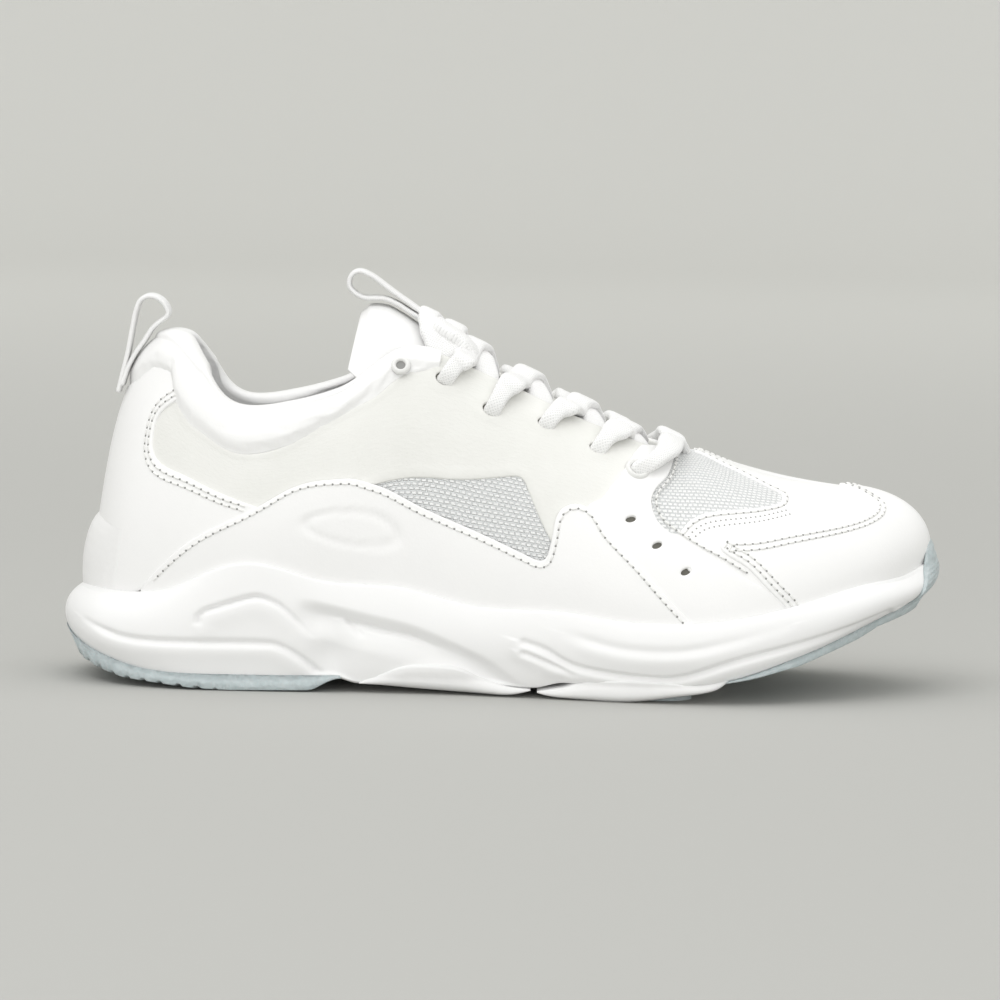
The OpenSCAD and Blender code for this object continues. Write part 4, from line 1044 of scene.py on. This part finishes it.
GUARD_EDGE = [(3.08, 0.03), (3.11, 0.09), (3.37, 0.2), (3.61, 0.3), (3.87, 0.36), (3.94, 0.39), (3.85, 0.415), (3.36, 0.42),
              (2.75, 0.45), (2.07, 0.49), (1.53, 0.52), (1.11, 0.56), (0.84, 0.62), (0.73, 0.7), (0.55, 0.8), (0.3, 0.86),
              (0, 0.87)]
TOE_WINDOW = [(4.6, 0.445), (4.53, 0.44), (4.33, 0.5), (3.99, 0.54), (3.22, 0.57), (2.75, 0.61), (2.53, 0.68),
              (2.61, 0.71), (3.01, 0.83), (3.6, 0.915), (3.81, 0.93), (3.98, 0.93)]
TOE_LOW = [(0, 0.8), (0.45, 0.76), (0.7, 0.6), (1.53, 0.47), (2.75, 0.4), (3.2, 0.33), (3.3, 0.16), (3.9, 0.15),
           (4.4, 0.3), (4.76, 0.42), (4.6, 0.445)]
FILM_LOW = [(12.0, 0.64), (11.3, 0.5), (10.65, 0.46), (9.9, 0.44), (9.4, 0.49), (8.9, 0.46), (8.5, 0.41)]
WINDOW_TOP = [(8.5, 0.45), (8.07, 0.452), (7.46, 0.47), (6.95, 0.512), (6.68, 0.537), (6.58, 0.53), (6.5, 0.49), (6.35, 0.41),
              (6.2, 0.34), (6.08, 0.3)]
FILM_RIGHT = [(6.08, 0.3), (5.95, 0.4), (5.6, 0.4), (5.4, 0.44), (5.36, 0.55), (5.15, 0.72), (5.02, 0.88),
              (4.86, 1.0)]
FILM_TOPLINE = [(8.05, 1.0), (8.0, 0.93), (8.19, 0.87), (8.44, 0.84), (8.77, 0.86), (9.12, 0.84), (9.45, 0.79),
                (9.76, 0.77), (10.05, 0.77), (10.48, 0.77), (10.98, 0.77), (11.3, 0.82), (11.5, 0.88),
                (11.8, 0.9), (12.1, 0.84)]
LACE_HOLES = [(5.22, 0.72), (5.75, 0.79), (6.42, 0.83), (7.07, 0.80), (7.62, 0.87)]
TOP_RING = (8.14, 0.915)
VENTS = [(5.2, 0.475), (4.82, 0.385), (4.43, 0.29)]
OVAL_CENTRE, OVAL_SIZE = (8.66, 0.31), (15.0, 5.0)


def circle(centre, radius, count=18):
    a = np.linspace(0, 2 * math.pi, count, endpoint=False)
    return [(centre[0] + radius * math.cos(k) / U_MM, centre[1] + radius * math.sin(k) / T_MM) for k in a]


def slanted_oval(centre, long_half, short_half, angle):
    a = np.linspace(0, 2 * math.pi, 16, endpoint=False)
    x, y = long_half * np.cos(a), short_half * np.sin(a)
    c, s = math.cos(angle), math.sin(angle)
    return [(centre[0] + (c * i - s * j) / U_MM, centre[1] + (s * i + c * j) / T_MM) for i, j in zip(x, y)]


def oval_deboss(u, t, dist):
    """Plain oval pressed into the quarter overlay."""
    v = np.where(u > COUNT / 2, COUNT - u, u)
    along_mm = (v - OVAL_CENTRE[0]) * U_MM
    r = np.hypot(along_mm / OVAL_SIZE[0], ((t - OVAL_CENTRE[1]) * T_MM - 0.27 * along_mm) / OVAL_SIZE[1])
    edge = (r - 1) * OVAL_SIZE[1]
    return -0.5 * np.exp(-(edge / 0.55) ** 2) - 0.12 * (edge < 0)


def raised_rim(u, t, dist):
    """Thicker welded rim a little way in from the film's edges."""
    return 0.28 * np.exp(-((dist - 1.7) / 0.8) ** 2)


def other_hole(h):
    return [(COUNT - u, t) for (u, t) in h][::-1]


for side, flip in (("lateral", lambda c: c), ("medial", other)):
    mir = (lambda h: h) if side == "lateral" else other_hole
    panel(f"quarter_overlay_skin_{side}", flip(QUARTER_EDGE), "overlay",
          [f"quarter_overlay_{side}"], top=QUARTER_LEVEL, low=-0.5, shape=oval_deboss, pitch=1.4)
    panel(f"strap_skin_{side}", flip([STRAP_TOP, STRAP_FRONT, [STRAP_FRONT[-1], STRAP_BACK[0]], STRAP_BACK]), "overlay",
          [f"strap_{side}"], holes=[mir(slanted_oval(v, 1.85, 0.95, -0.45)) for v in VENTS]
          + [mir(circle(LACE_HOLES[0], 2.4))], top=STRAP_LEVEL, low=-1.2, pitch=1.4)
    film_outline = [FILM_LOW, [FILM_LOW[-1], WINDOW_TOP[0]], WINDOW_TOP, FILM_RIGHT,
                    [FILM_RIGHT[-1], (5.8, 1.0), (6.6, 1.0), (7.4, 1.0), FILM_TOPLINE[0]], FILM_TOPLINE,
                    [FILM_TOPLINE[-1], FILM_LOW[0]]]
    panel(f"side_film_skin_{side}", flip(film_outline), "film",
          [f"side_film_{side}", f"eyestay_{side}"],
          holes=[mir(circle(h, 2.5)) for h in LACE_HOLES[1:]] + [mir(circle(LACE_HOLES[0], 2.4))],
          top=FILM_TOP, low=-2.4, round_edge=0.4, pitch=1.5, shape=raised_rim)
    panel(f"quarter_knit_{side}", flip([[(9.0, 0.36), (8.7, 0.44), (8.3, 0.5), (7.4, 0.53), (6.6, 0.58), (6.3, 0.5),
                                         (6.05, 0.38), (5.95, 0.28), (6.1, 0.2)], [(6.1, 0.2), (7.0, 0.24), (9.0, 0.36)]]),
          "quarter_knit", [f"quarter_mesh_{side}"], top=KNIT_TOP, low=-1.6, round_edge=0.2)

heel_back = [(COUNT - u, t) for (u, t) in HEEL_FRONT][::-1]
panel("heel_overlay_skin", [HEEL_FRONT, HEEL_TOP + [(13, 0.757)] + [(COUNT - u, t) for (u, t) in HEEL_TOP][::-1],
                            heel_back, [(14.1, 0.03), (13, 0.03), (11.9, 0.03)]],
      "overlay", ["heel_overlay"], top=HEEL_LEVEL, low=-1.0, pitch=1.5)
panel("mudguard_skin", [GUARD_EDGE + other_toe(GUARD_EDGE)[1:], [(-3.08, 0.03), (0, 0.03), (3.08, 0.03)]],
      "overlay", ["mudguard"], top=GUARD_LEVEL, low=-0.4, pitch=1.5)
panel("toe_overlay_skin", [TOE_LOW, TOE_WINDOW, [(3.98, 0.93), (3.99, 1.0)], [(3.99, 1.0), (0, 1.0), (-3.99, 1.0)],
                           [(-3.99, 1.0), (-3.98, 0.93)], other_toe(TOE_WINDOW), other_toe(TOE_LOW)],
      "overlay", ["toe_overlay"], top=TOE_LEVEL, low=-1.0, pitch=1.4, seam_open=True)
knit = [[(5.1, 0.4), (5.1, 0.62), (4.75, 0.8), (4.3, 0.97), (3.8, 0.985), (3.0, 0.93), (2.45, 0.82), (2.3, 0.68),
         (2.5, 0.54), (3.4, 0.48), (4.2, 0.4)], [(4.2, 0.4), (5.1, 0.4)]]
panel("toe_knit_lateral", knit, "toe_knit", ["vamp_mesh"], top=TOE_KNIT_TOP, low=-1.4, round_edge=0.2)
panel("toe_knit_medial", [[(-u, t) for (u, t) in c][::-1] for c in knit][::-1], "toe_knit", (),
      top=TOE_KNIT_TOP, low=-1.4, round_edge=0.2)

# ---------------------------------------------------------------- collar, lining, sockliner
COVER_EDGE = np.array([[7.6, 0.93], [7.85, 0.885], [8.02, 0.87], [8.19, 0.86], [8.44, 0.825], [8.77, 0.845], [9.12, 0.82], [9.45, 0.775],
                       [10.05, 0.755], [10.98, 0.745], [11.4, 0.8], [11.7, 0.88], [12.2, 0.855], [12.6, 0.78], [13, 0.74]])
PAD_WIDTH = np.array([[7.6, 1.0], [7.9, 1.6], [8.15, 2.6], [8.6, 4.4], [9.3, 7.0], [10.0, 8.5], [13, 9.5]])
PAD_RISE = np.array([[7.6, 0.4], [7.9, 0.6], [8.6, 1.6], [9.5, 2.8], [11, 3.0], [13, 2.6]])


def by_side(table, u):
    return np.interp(13 - np.abs(u - 13), table[:, 0], table[:, 1])


def inward(u):
    n = normal(u, np.full_like(u, 0.95))
    n = np.stack([-n[:, 0], -n[:, 1], np.zeros(len(u))], axis=1)
    return n / np.linalg.norm(n, axis=1, keepdims=True)


def settle(ob, pinned, pressure, slack, cap, frames=18):
    """Short cloth run: the cover swells over its filling and takes on soft folds, held along its sewn edges."""
    rest = np.empty(len(ob.data.vertices) * 3)
    ob.data.vertices.foreach_get("co", rest)
    group = ob.vertex_groups.new(name="sewn")
    group.add([int(i) for i in np.nonzero(pinned)[0]], 1.0, "REPLACE")
    mod = ob.modifiers.new("cover", "CLOTH")
    cloth = mod.settings
    cloth.quality = 4
    cloth.mass = 0.15
    cloth.tension_stiffness = cloth.compression_stiffness = 20
    cloth.shear_stiffness = 6
    cloth.bending_stiffness = 4.0
    cloth.use_pressure = True
    cloth.uniform_pressure_force = pressure
    cloth.shrink_min = cloth.shrink_max = -slack
    cloth.vertex_group_mass = "sewn"
    cloth.effector_weights.gravity = 0
    mod.collision_settings.use_collision = False
    mod.point_cache.frame_start, mod.point_cache.frame_end = 1, frames
    for f in range(frames + 1):
        bpy.context.scene.frame_set(f)
    shape = ob.evaluated_get(bpy.context.evaluated_depsgraph_get()).to_mesh()
    new = np.empty(len(rest))
    shape.vertices.foreach_get("co", new)
    move = (new - rest).reshape(-1, 3)
    far = np.linalg.norm(move, axis=1, keepdims=True)
    move *= np.minimum(1, cap / np.maximum(far, 1e-9))
    ob.modifiers.remove(mod)
    ob.vertex_groups.remove(group)
    ob.data.vertices.foreach_set("co", rest + move.ravel())
    ob.data.update()
    bpy.context.scene.frame_set(1)
    print("cloth", ob.name, "mean move mm", round(float(far.mean()) * 1000, 2), "max", round(float(far.max()) * 1000, 2))


def make_collar():
    n, outer_rows, roll_rows, inner_rows = 300, 22, 18, 20
    u = np.linspace(7.69, COUNT - 7.69, n)
    start, width, rise = by_side(COVER_EDGE, u), by_side(PAD_WIDTH, u), by_side(PAD_RISE, u)
    rim = skin(u, np.ones_like(u))
    into = inward(u)
    rings = [at(u, start, np.full(n, -1.0))]
    for k in np.linspace(0, 1, outer_rows, endpoint=False):
        t = start + (1 - start) * k
        plump = np.clip(width / 8, 0.35, 1)
        rings.append(at(u, t, -0.7 + 1.2 * float(smooth(k, 0, 0.3)) + 1.0 * math.sin(math.pi * k) * plump))
    for a in np.linspace(0, math.pi, roll_rows):
        r = rim + into * (width / 2 * (1 - math.cos(a)))[:, None]
        r[:, 2] += rise * math.sin(a) ** 0.8 + 0.2
        rings.append(r - into * 0.5 * math.cos(a))
    for k in np.linspace(0.04, 1, inner_rows):
        t = 1 - 0.34 * k
        w = np.maximum(width * (1 - 0.45 * smooth(k, 0.2, 1.0)) + 0.6 * np.sin(math.pi * k), 3.4 * k ** 0.3)
        rings.append(at(u, t, -w) * k + (rim + into * (width + 0.5)[:, None] - [0, 0, 0.0]) * (1 - k) * 1.0
                     if k < 0.25 else at(u, t, -w))
    grid = np.stack(rings, axis=1)
    m = grid.shape[1]
    uv = np.stack(np.broadcast_arrays(u[:, None] * U_MM, np.arange(m)[None] * 1.3), axis=-1)
    faces = grid_faces(n, m) + [tuple(range(m)), tuple(range((n - 1) * m, n * m))[::-1]]
    ob = add_mesh("collar_padding_cover", grid.reshape(-1, 3), faces, "padded", uv=uv.reshape(-1, 2),
                  replaces=["collar_cover", "collar_foam"])
    row = np.arange(n * m) % m
    end = np.arange(n * m) // m
    settle(ob, (row < 3) | (row > m - 4) | (end < 3) | (end > n - 4), 3.0, 0.005, 0.0008)


def make_linings():
    n, m = 170, 30
    u = np.linspace(4.55, COUNT - 4.55, n)
    t = np.linspace(0.02, 0.93, m)
    uu, tt = np.meshgrid(u, t, indexing="ij")
    uv = np.stack([uu * U_MM, tt * T_MM], axis=-1).reshape(-1, 2)
    inner, outer = at(uu, tt, -3.3 + 0 * uu), at(uu, tt, -2.7 + 0 * uu)
    sheet = np.concatenate([inner.reshape(-1, 3), outer.reshape(-1, 3)])
    faces = grid_faces(n, m, flip=True) + grid_faces(n, m, offset=n * m)
    ob = add_mesh("quarter_lining_cloth", sheet, faces, "lining", uv=np.concatenate([uv, uv]),
                  replaces=["quarter_lining_lateral", "quarter_lining_medial", "heel_lining"])
    v = np.linspace(-4.6, 4.6, 100)
    vv, tt = np.meshgrid(v, np.linspace(0.02, 1.0, m), indexing="ij")
    uv = np.stack([vv * U_MM, tt * T_MM], axis=-1).reshape(-1, 2)
    add_mesh("vamp_lining_cloth", at(vv, tt, -3.2 + 0 * vv).reshape(-1, 3), grid_faces(100, m, flip=True), "lining", uv=uv,
             replaces=["vamp_lining"])


def make_sockliner():
    n = 300
    u = np.linspace(0, COUNT, n, endpoint=False)
    v = folded(u)
    edge, mid = at(u, np.zeros(n), -4.0), (at(v, np.zeros(n), -4.0) + at(COUNT - v, np.zeros(n), -4.0)) / 2
    rows = []
    for w, lift in [(0.0, 2.2), (0.0, 5.6), (0.012, 6.6), (0.04, 7.0)] + [(k, 6.9 - 1.2 * math.sin(k * 1.57))
                                                                         for k in np.linspace(0.08, 1, 16)]:
        rows.append(edge * (1 - w) + mid * w + np.array([0, 0, lift]))
    grid = np.stack(rows, axis=1)
    weld(add_mesh("sockliner_cloth", grid.reshape(-1, 3), grid_faces(n, len(rows), closed_rows=True), "insole",
                  replaces=["sockliner"]))


make_collar()
make_linings()
make_sockliner()

# ---------------------------------------------------------------- tongue
TONGUE_LINE = np.array([[98, 121.8], [101, 122.0], [104.3, 121.4], [108.6, 119.2], [116.7, 114.8], [122, 110.8], [130, 105.3],
                        [141, 99.2], [155, 92.3], [168, 85.8], [180, 79.5], [190, 74.8], [197.5, 72.6]])
TONGUE_DROOP = np.array([[98, 0.058], [108, 0.052], [122, 0.042], [141, 0.0265], [168, 0.0245], [184, 0.014],
                         [197.5, 0.008]])
TONGUE_HALF = np.array([[98, 18.5], [104, 18.5], [112, 18.3], [122, 18.5], [141, 19], [168, 18], [190, 12], [197.5, 10]])


def table(values, x):
    return np.interp(x, values[:, 0], values[:, 1])


def tongue_top(x, y):
    return table(TONGUE_LINE, x) - table(TONGUE_DROOP, x) * y * y


def make_tongue():
    n, m = 120, 44
    x = np.concatenate([[98.0] * 10, np.linspace(98, 197.5, n)])
    end = np.concatenate([np.linspace(0, 1, 10, endpoint=False), np.ones(n)])
    a = np.linspace(0, 2 * math.pi, m, endpoint=False)
    rings = []
    for xi, grow in zip(x, end):
        g = math.sin(grow * math.pi / 2)
        s = np.sign(np.cos(a)) * np.abs(np.cos(a)) ** 0.8
        v = np.sign(np.sin(a)) * np.abs(np.sin(a)) ** 0.9
        half = table(TONGUE_HALF, xi) * (0.93 + 0.07 * g)
        y = s * half
        thick = (3.6 + 2.8 * float(1 - smooth(xi, 104, 125))) * (0.12 + 0.88 * g)
        back = (1 - math.cos(grow * math.pi / 2)) * 3.2 - 3.2
        sweepback = -3.5 * float(1 - smooth(xi, 100, 150)) * s * s
        z = tongue_top(xi, y) - 3.1 + v * thick / 2 * (1 - 0.35 * s * s)
        rings.append(np.stack([np.full(m, xi) - back * 0 + sweepback - (1 - g) * 3.0, y, z], axis=1))
    grid = np.stack(rings)
    k = len(x)
    uv = np.stack(np.broadcast_arrays(np.arange(k)[:, None] * 1.0, np.arange(m)[None] * 1.4), axis=-1)
    faces = grid_faces(k, m, closed_cols=True) + [tuple(range(m))[::-1], tuple(range((k - 1) * m, k * m))]
    ob = add_mesh("tongue_padding_cover", grid.reshape(-1, 3), faces, "padded", uv=uv.reshape(-1, 2), body="tongue",
                  replaces=["tongue_cover", "tongue_foam", "tongue_lining"])
    turn_out(ob)
    station = np.arange(k * m) // m
    settle(ob, station > k - 12, 3.0, 0.006, 0.0008)


make_tongue()

# ---------------------------------------------------------------- lace
LACE_WIDE, LACE_THICK = 8.4, 3.3
LACE = rounded(0.55, 0.75)


def hole_spot(k, side, d, reach=0.0, along_toe=0.0):
    """Point by a lace hole, reach of the way to the throat edge and moved toward the toe."""
    u, t = LACE_HOLES[k]
    u = u - along_toe / U_MM
    t = t + (1 - t) * reach
    return at(np.array(u if side < 0 else COUNT - u), np.array(t), np.array(d))


def over(x, y, lift):
    return np.array([x, y, tongue_top(x, y) + LACE_THICK / 2 + 0.5 + lift])


def strand(k, side, lift):
    """From hole k on one side, over the throat edge and the tongue, to dive under the other side one hole lower."""
    a, b = hole_spot(k, side, 0, 1.0), hole_spot(k - 1, -side, 0, 1.0)
    level = STRAP_LEVEL if k == 0 else FILM_TOP
    half = min(8.0, abs(float(a[1])) - 4)
    pts = [hole_spot(k, side, -3.5, 0.05), hole_spot(k, side, level - 1.0, -0.02, 0.4),
           hole_spot(k, side, level + 1.5, 0.12, 1.0), hole_spot(k, side, level + 2.6, 0.5, 2.4),
           hole_spot(k, side, level + 2.8, 0.88, 4.2)]
    pts += [over(a[0] + (b[0] - a[0]) * f, side * half * (1 - 2 * g), lift * math.sin(math.pi * (0.15 + 0.7 * g)))
            for f, g in ((0.38, 0.0), (0.5, 0.33), (0.62, 0.66), (0.74, 1.0))]
    pts += [hole_spot(k - 1, -side, -3.4, 0.93, -2.0), hole_spot(k - 1, -side, -4.6, 0.72, -1.0)]
    return pts


def lace_part(points, wide=LACE_WIDE, thick=LACE_THICK, pinch=0.62, across=(1.0, 0, -0.45), end_pinch=None):
    p = spline(points, step=0.7)
    n = len(p)
    s = np.linspace(0, 1, n)
    w = wide * (pinch + (1 - pinch) * smooth(s, 0.06, 0.3))
    if end_pinch:
        w = w * (end_pinch + (1 - end_pinch) * (1 - smooth(s, 0.75, 0.97)))
    wave = 1 + 0.05 * np.sin(s * 31)
    return sweep(p, across, w * wave, thick * (1.12 - 0.12 * smooth(s, 0.05, 0.3)), LACE)


def make_lace():
    parts = []
    ring_bar = [hole_spot(0, -1, -3.0, 0.0), hole_spot(0, -1, 0.2, 0.02, 0.8), hole_spot(0, -1, 3.0, 0.12, 4.6),
                hole_spot(0, -1, 3.8, 0.4, 9.0), hole_spot(0, -1, 3.4, 0.85, 11.4)]
    bar_top = [over(198.0, y, 2.2) for y in (-4, 0, 4)]
    mirrored = [np.array([p[0], -p[1], p[2]]) for p in ring_bar][::-1]
    parts.append(lace_part(ring_bar + bar_top + mirrored, end_pinch=0.62))
    for k in (1, 2, 3, 4):
        parts.append(lace_part(strand(k, -1, 3.6)))
        parts.append(lace_part(strand(k, 1, 1.0)))
    knot_x = 124.0
    parts.append(lace_part([over(knot_x - 6.5, -3.0, 0.4), over(knot_x - 4, -6.5, 2.8), over(knot_x, -8.5, 4.6),
                            over(knot_x + 3.6, -8.5, 4.4), over(knot_x + 6.4, -7.5, 2.2), over(knot_x + 7.4, -5.5, -0.8)],
                           wide=8.4, thick=4.4, across=(0.15, 1.0, 0.1), pinch=0.9))
    parts.append(lace_part([over(knot_x + 1, 15, -1.0), over(knot_x + 1.5, 8, 2.6), over(knot_x + 1, 0, 4.2),
                            over(knot_x, -8, 3.6), over(knot_x - 0.5, -14.5, 0.4), over(knot_x, -17, -3)],
                           wide=8.0, thick=3.6, pinch=0.85))
    parts.append(lace_part([over(knot_x - 5, 4, 1.6), over(knot_x - 7.5, -2, 2.6), over(knot_x - 7, -9, 1.6),
                            over(knot_x - 3.5, -13.5, 0.2)], wide=7.0, thick=3.2, pinch=0.85))
    pts, faces, uv = joined(parts)
    add_mesh("lace_cord", pts, faces, "lace", uv=uv, replaces=["lace"])


make_lace()

# ---------------------------------------------------------------- eyelet rings, hole shadows
def frame_at(u, t, d):
    """Point, along, up and outward directions on the upper."""
    e = 0.02
    p = at(np.array(u), np.array(t), np.array(d))
    n = normal(np.array(u), np.array(t))
    along_u = at(np.array(u + e), np.array(t), np.array(d)) - at(np.array(u - e), np.array(t), np.array(d))
    along_u = along_u - (along_u @ n) * n
    along_u /= np.linalg.norm(along_u)
    return p, along_u, np.cross(n, along_u), n


def ring_part(u, t, d, outer=4.0, bore=2.35, high=0.9, segments=48):
    p, a, b, n = frame_at(u, t, d)
    profile = [(bore, -1.2), (bore, 0.2), (bore + 0.25, 0.62), (bore + 0.7, 0.85), ((outer + bore) / 2 + 0.1, high),
               (outer - 0.35, 0.62), (outer, 0.15), (outer, -0.5)]
    th = np.linspace(0, 2 * math.pi, segments, endpoint=False)
    pts = np.array([[p + r * (math.cos(k) * a + math.sin(k) * b) + h * n for r, h in profile] for k in th])
    return pts.reshape(-1, 3), grid_faces(segments, len(profile), closed_rows=True), np.zeros((segments * len(profile), 2))


def disc_part(u, t, d, radius, segments=24, stretch=1.0, angle=0.0):
    p, a, b, n = frame_at(u, t, d)
    a, b = math.cos(angle) * a + math.sin(angle) * b, -math.sin(angle) * a + math.cos(angle) * b
    th = np.linspace(0, 2 * math.pi, segments, endpoint=False)
    pts = np.array([p] + [p + radius * (stretch * math.cos(k) * a + math.sin(k) * b) for k in th])
    return pts, [(0, 1 + i, 1 + (i + 1) % segments) for i in range(segments)], np.zeros((segments + 1, 2))


rings, shadows, top_ring_shade = [], [], []
for sgn in (1, -1):
    def place(u):
        return u if sgn > 0 else COUNT - u
    rings.append(ring_part(place(LACE_HOLES[0][0]), LACE_HOLES[0][1], STRAP_LEVEL))
    rings.append(ring_part(place(TOP_RING[0]), TOP_RING[1], 1.1, outer=3.1, bore=1.5, high=0.7))
    # grey disc of painted shade in the top ring's bore
    top_ring_shade.append(disc_part(place(TOP_RING[0]), TOP_RING[1], 1.0, 1.7))
    for h in LACE_HOLES:
        shadows.append(disc_part(place(h[0]), h[1], -1.9, 2.9))
    for v in VENTS:
        shadows.append(disc_part(place(v[0]), v[1], -0.9, 2.0))
pts, faces, uv = joined(rings)
ring_ob = add_mesh("eyelet_rings", pts, faces, "eyelet", uv=uv, replaces=["eyelets"])
turn_out(ring_ob)
pts, faces, uv = joined(shadows)
add_mesh("hole_shadows", pts, faces, "dark", uv=uv, smooth_faces=False)
pts, faces, uv = joined(top_ring_shade)
add_mesh("top_ring_shadows", pts, faces, "hole", uv=uv, smooth_faces=False)

# ---------------------------------------------------------------- webbing loops
WEB = rounded(0.35, 0.6)


def make_loop(name, node, body, path, wide, thick):
    p = spline(path, step=0.8)
    pts, faces, uv = sweep(np.column_stack([p[:, 0], np.zeros(len(p)), p[:, 1]]), (0, 1.0, 0), wide, thick, WEB)
    ob = add_mesh(name, pts, faces, "web", uv=uv, body=body, replaces=[node])
    turn_out(ob)


make_loop("tongue_loop_webbing", "tongue_loop", "tongue_pull",
          [(116.6, 117.6), (112, 121.2), (107, 124.6), (102.5, 127.8), (98, 131.0), (93.8, 132.6), (91.0, 131.0), (90.8, 127.2),
           (95, 124.2), (101.5, 124.0), (106, 122.4), (110, 120.0), (116.2, 116.4)], 10.0, 1.6)
make_loop("heel_loop_webbing", "heel_loop", "heel_pull",
          [(16.4, 92.0), (17.8, 98), (19.4, 105), (20.6, 112), (21.8, 118.2), (23.3, 121.8), (26.4, 123.2), (30.0, 121.8),
           (32.1, 118.7), (31.8, 116.8), (29.4, 114.9), (27.0, 112.6), (24.7, 108.9), (21.6, 104.2), (19.4, 99.8),
           (17.6, 94.2)], 11.0, 1.6)

# ---------------------------------------------------------------- stitches
STITCH_PITCH, STITCH_LENGTH, STITCH_HALF, NEEDLE_RADIUS = 2.6, 1.95, 0.36, 0.36
PERFORATION_PITCH = 2.1
threads, hole_shade_dots = [], []


def thread_shape():
    """One stitch lying along X, rounded at both ends."""
    rows = [(-1.0, 0.1), (-0.86, 0.75), (-0.45, 1.0), (0.45, 1.0), (0.86, 0.75), (1.0, 0.1)]
    a = np.linspace(0, 2 * math.pi, 7, endpoint=False)
    pts = np.array([[x * STITCH_LENGTH / 2, r * STITCH_HALF * math.cos(k), r * STITCH_HALF * math.sin(k)]
                    for x, r in rows for k in a])
    faces = grid_faces(len(rows), 7, closed_cols=True) + [tuple(range(7))[::-1], tuple(range(35, 42))]
    return pts, faces


THREAD_POINTS, THREAD_FACES = thread_shape()


def stitch_row(line, level, both_sides=True):
    """Row of stitches along a [station, share] line, with a grey disc of painted shade for the needle hole between each
    pair.
    """
    dense = spline(np.asarray(line, float) * DOMAIN, step=0.5) / DOMAIN
    for medial in ((False, True) if both_sides else (False,)):
        u = COUNT - dense[:, 0] if medial else dense[:, 0]
        p = at(u, np.clip(dense[:, 1], 0, 1), np.full(len(u), level + 0.1))
        n = normal(u, np.clip(dense[:, 1], 0, 1))
        run = np.concatenate([[0], np.cumsum(np.linalg.norm(np.diff(p, axis=0), axis=1))])
        for s in np.arange(STITCH_PITCH, run[-1] - STITCH_PITCH / 2, STITCH_PITCH):
            mid = np.array([np.interp(s, run, p[:, c]) for c in range(3)])
            nor = np.array([np.interp(s, run, n[:, c]) for c in range(3)])
            ahead = np.array([np.interp(s + 0.9, run, p[:, c]) for c in range(3)])
            behind = np.array([np.interp(s - 0.9, run, p[:, c]) for c in range(3)])
            x = ahead - behind
            x /= np.linalg.norm(x)
            y = np.cross(nor, x)
            y /= np.linalg.norm(y)
            z = np.cross(x, y)
            threads.append((mid + THREAD_POINTS @ np.array([x, y, z]), THREAD_FACES, np.zeros((len(THREAD_POINTS), 2))))
            c = mid + x * STITCH_PITCH / 2 - z * 0.04
            ring = [c + NEEDLE_RADIUS * (math.cos(k) * x + math.sin(k) * y) for k in np.linspace(0, 2 * math.pi, 8, endpoint=False)]
            hole_shade_dots.append((np.array([c] + ring), [(0, 1 + i, 1 + (i + 1) % 8) for i in range(8)], np.zeros((9, 2))))


quarter_row = QUARTER_EDGE[0][1:-1]
stitch_row(shifted(quarter_row, 1.7), QUARTER_LEVEL)
for inset in (1.7, 3.6):
    stitch_row(shifted([(9.9, 0.5)] + HEEL_FRONT[5:], -inset), HEEL_LEVEL)
    stitch_row(shifted(GUARD_EDGE, inset), GUARD_LEVEL)
stitch_row(shifted(STRAP_FRONT[:-2], -1.7), STRAP_LEVEL)
stitch_row(shifted(TOE_WINDOW[1:], 1.6), TOE_LEVEL)
# toe perforations: small discs of painted shade on the toe overlay
for inset in (3.5, 5.2):
    dots = spline(shifted(TOE_WINDOW[1:6], inset) * DOMAIN, step=PERFORATION_PITCH) / DOMAIN
    for u, t in dots[1:]:
        for v in (u, COUNT - u):
            hole_shade_dots.append(disc_part(v, t, TOE_LEVEL + 0.04, 0.3, segments=8))
pts, faces, uv = joined(threads)
add_mesh("stitching", pts, faces, "thread", uv=uv)
# needle holes and perforations as discs of painted shade
pts, faces, uv = joined(hole_shade_dots)
add_mesh("needle_hole_shade_dots", pts, faces, "hole", uv=uv, smooth_faces=False)

# ---------------------------------------------------------------- CAD parts that stay, and the end
for node, finish in (("forefoot_tread", "rubber"), ("strobel_board", "inside"), ("shank", "inside"),
                     ("toe_puff", "inside"), ("heel_counter", "inside")):
    obj = bpy.data.objects.get(node)
    if obj is not None:
        for s in obj.material_slots:
            s.material = M[finish]
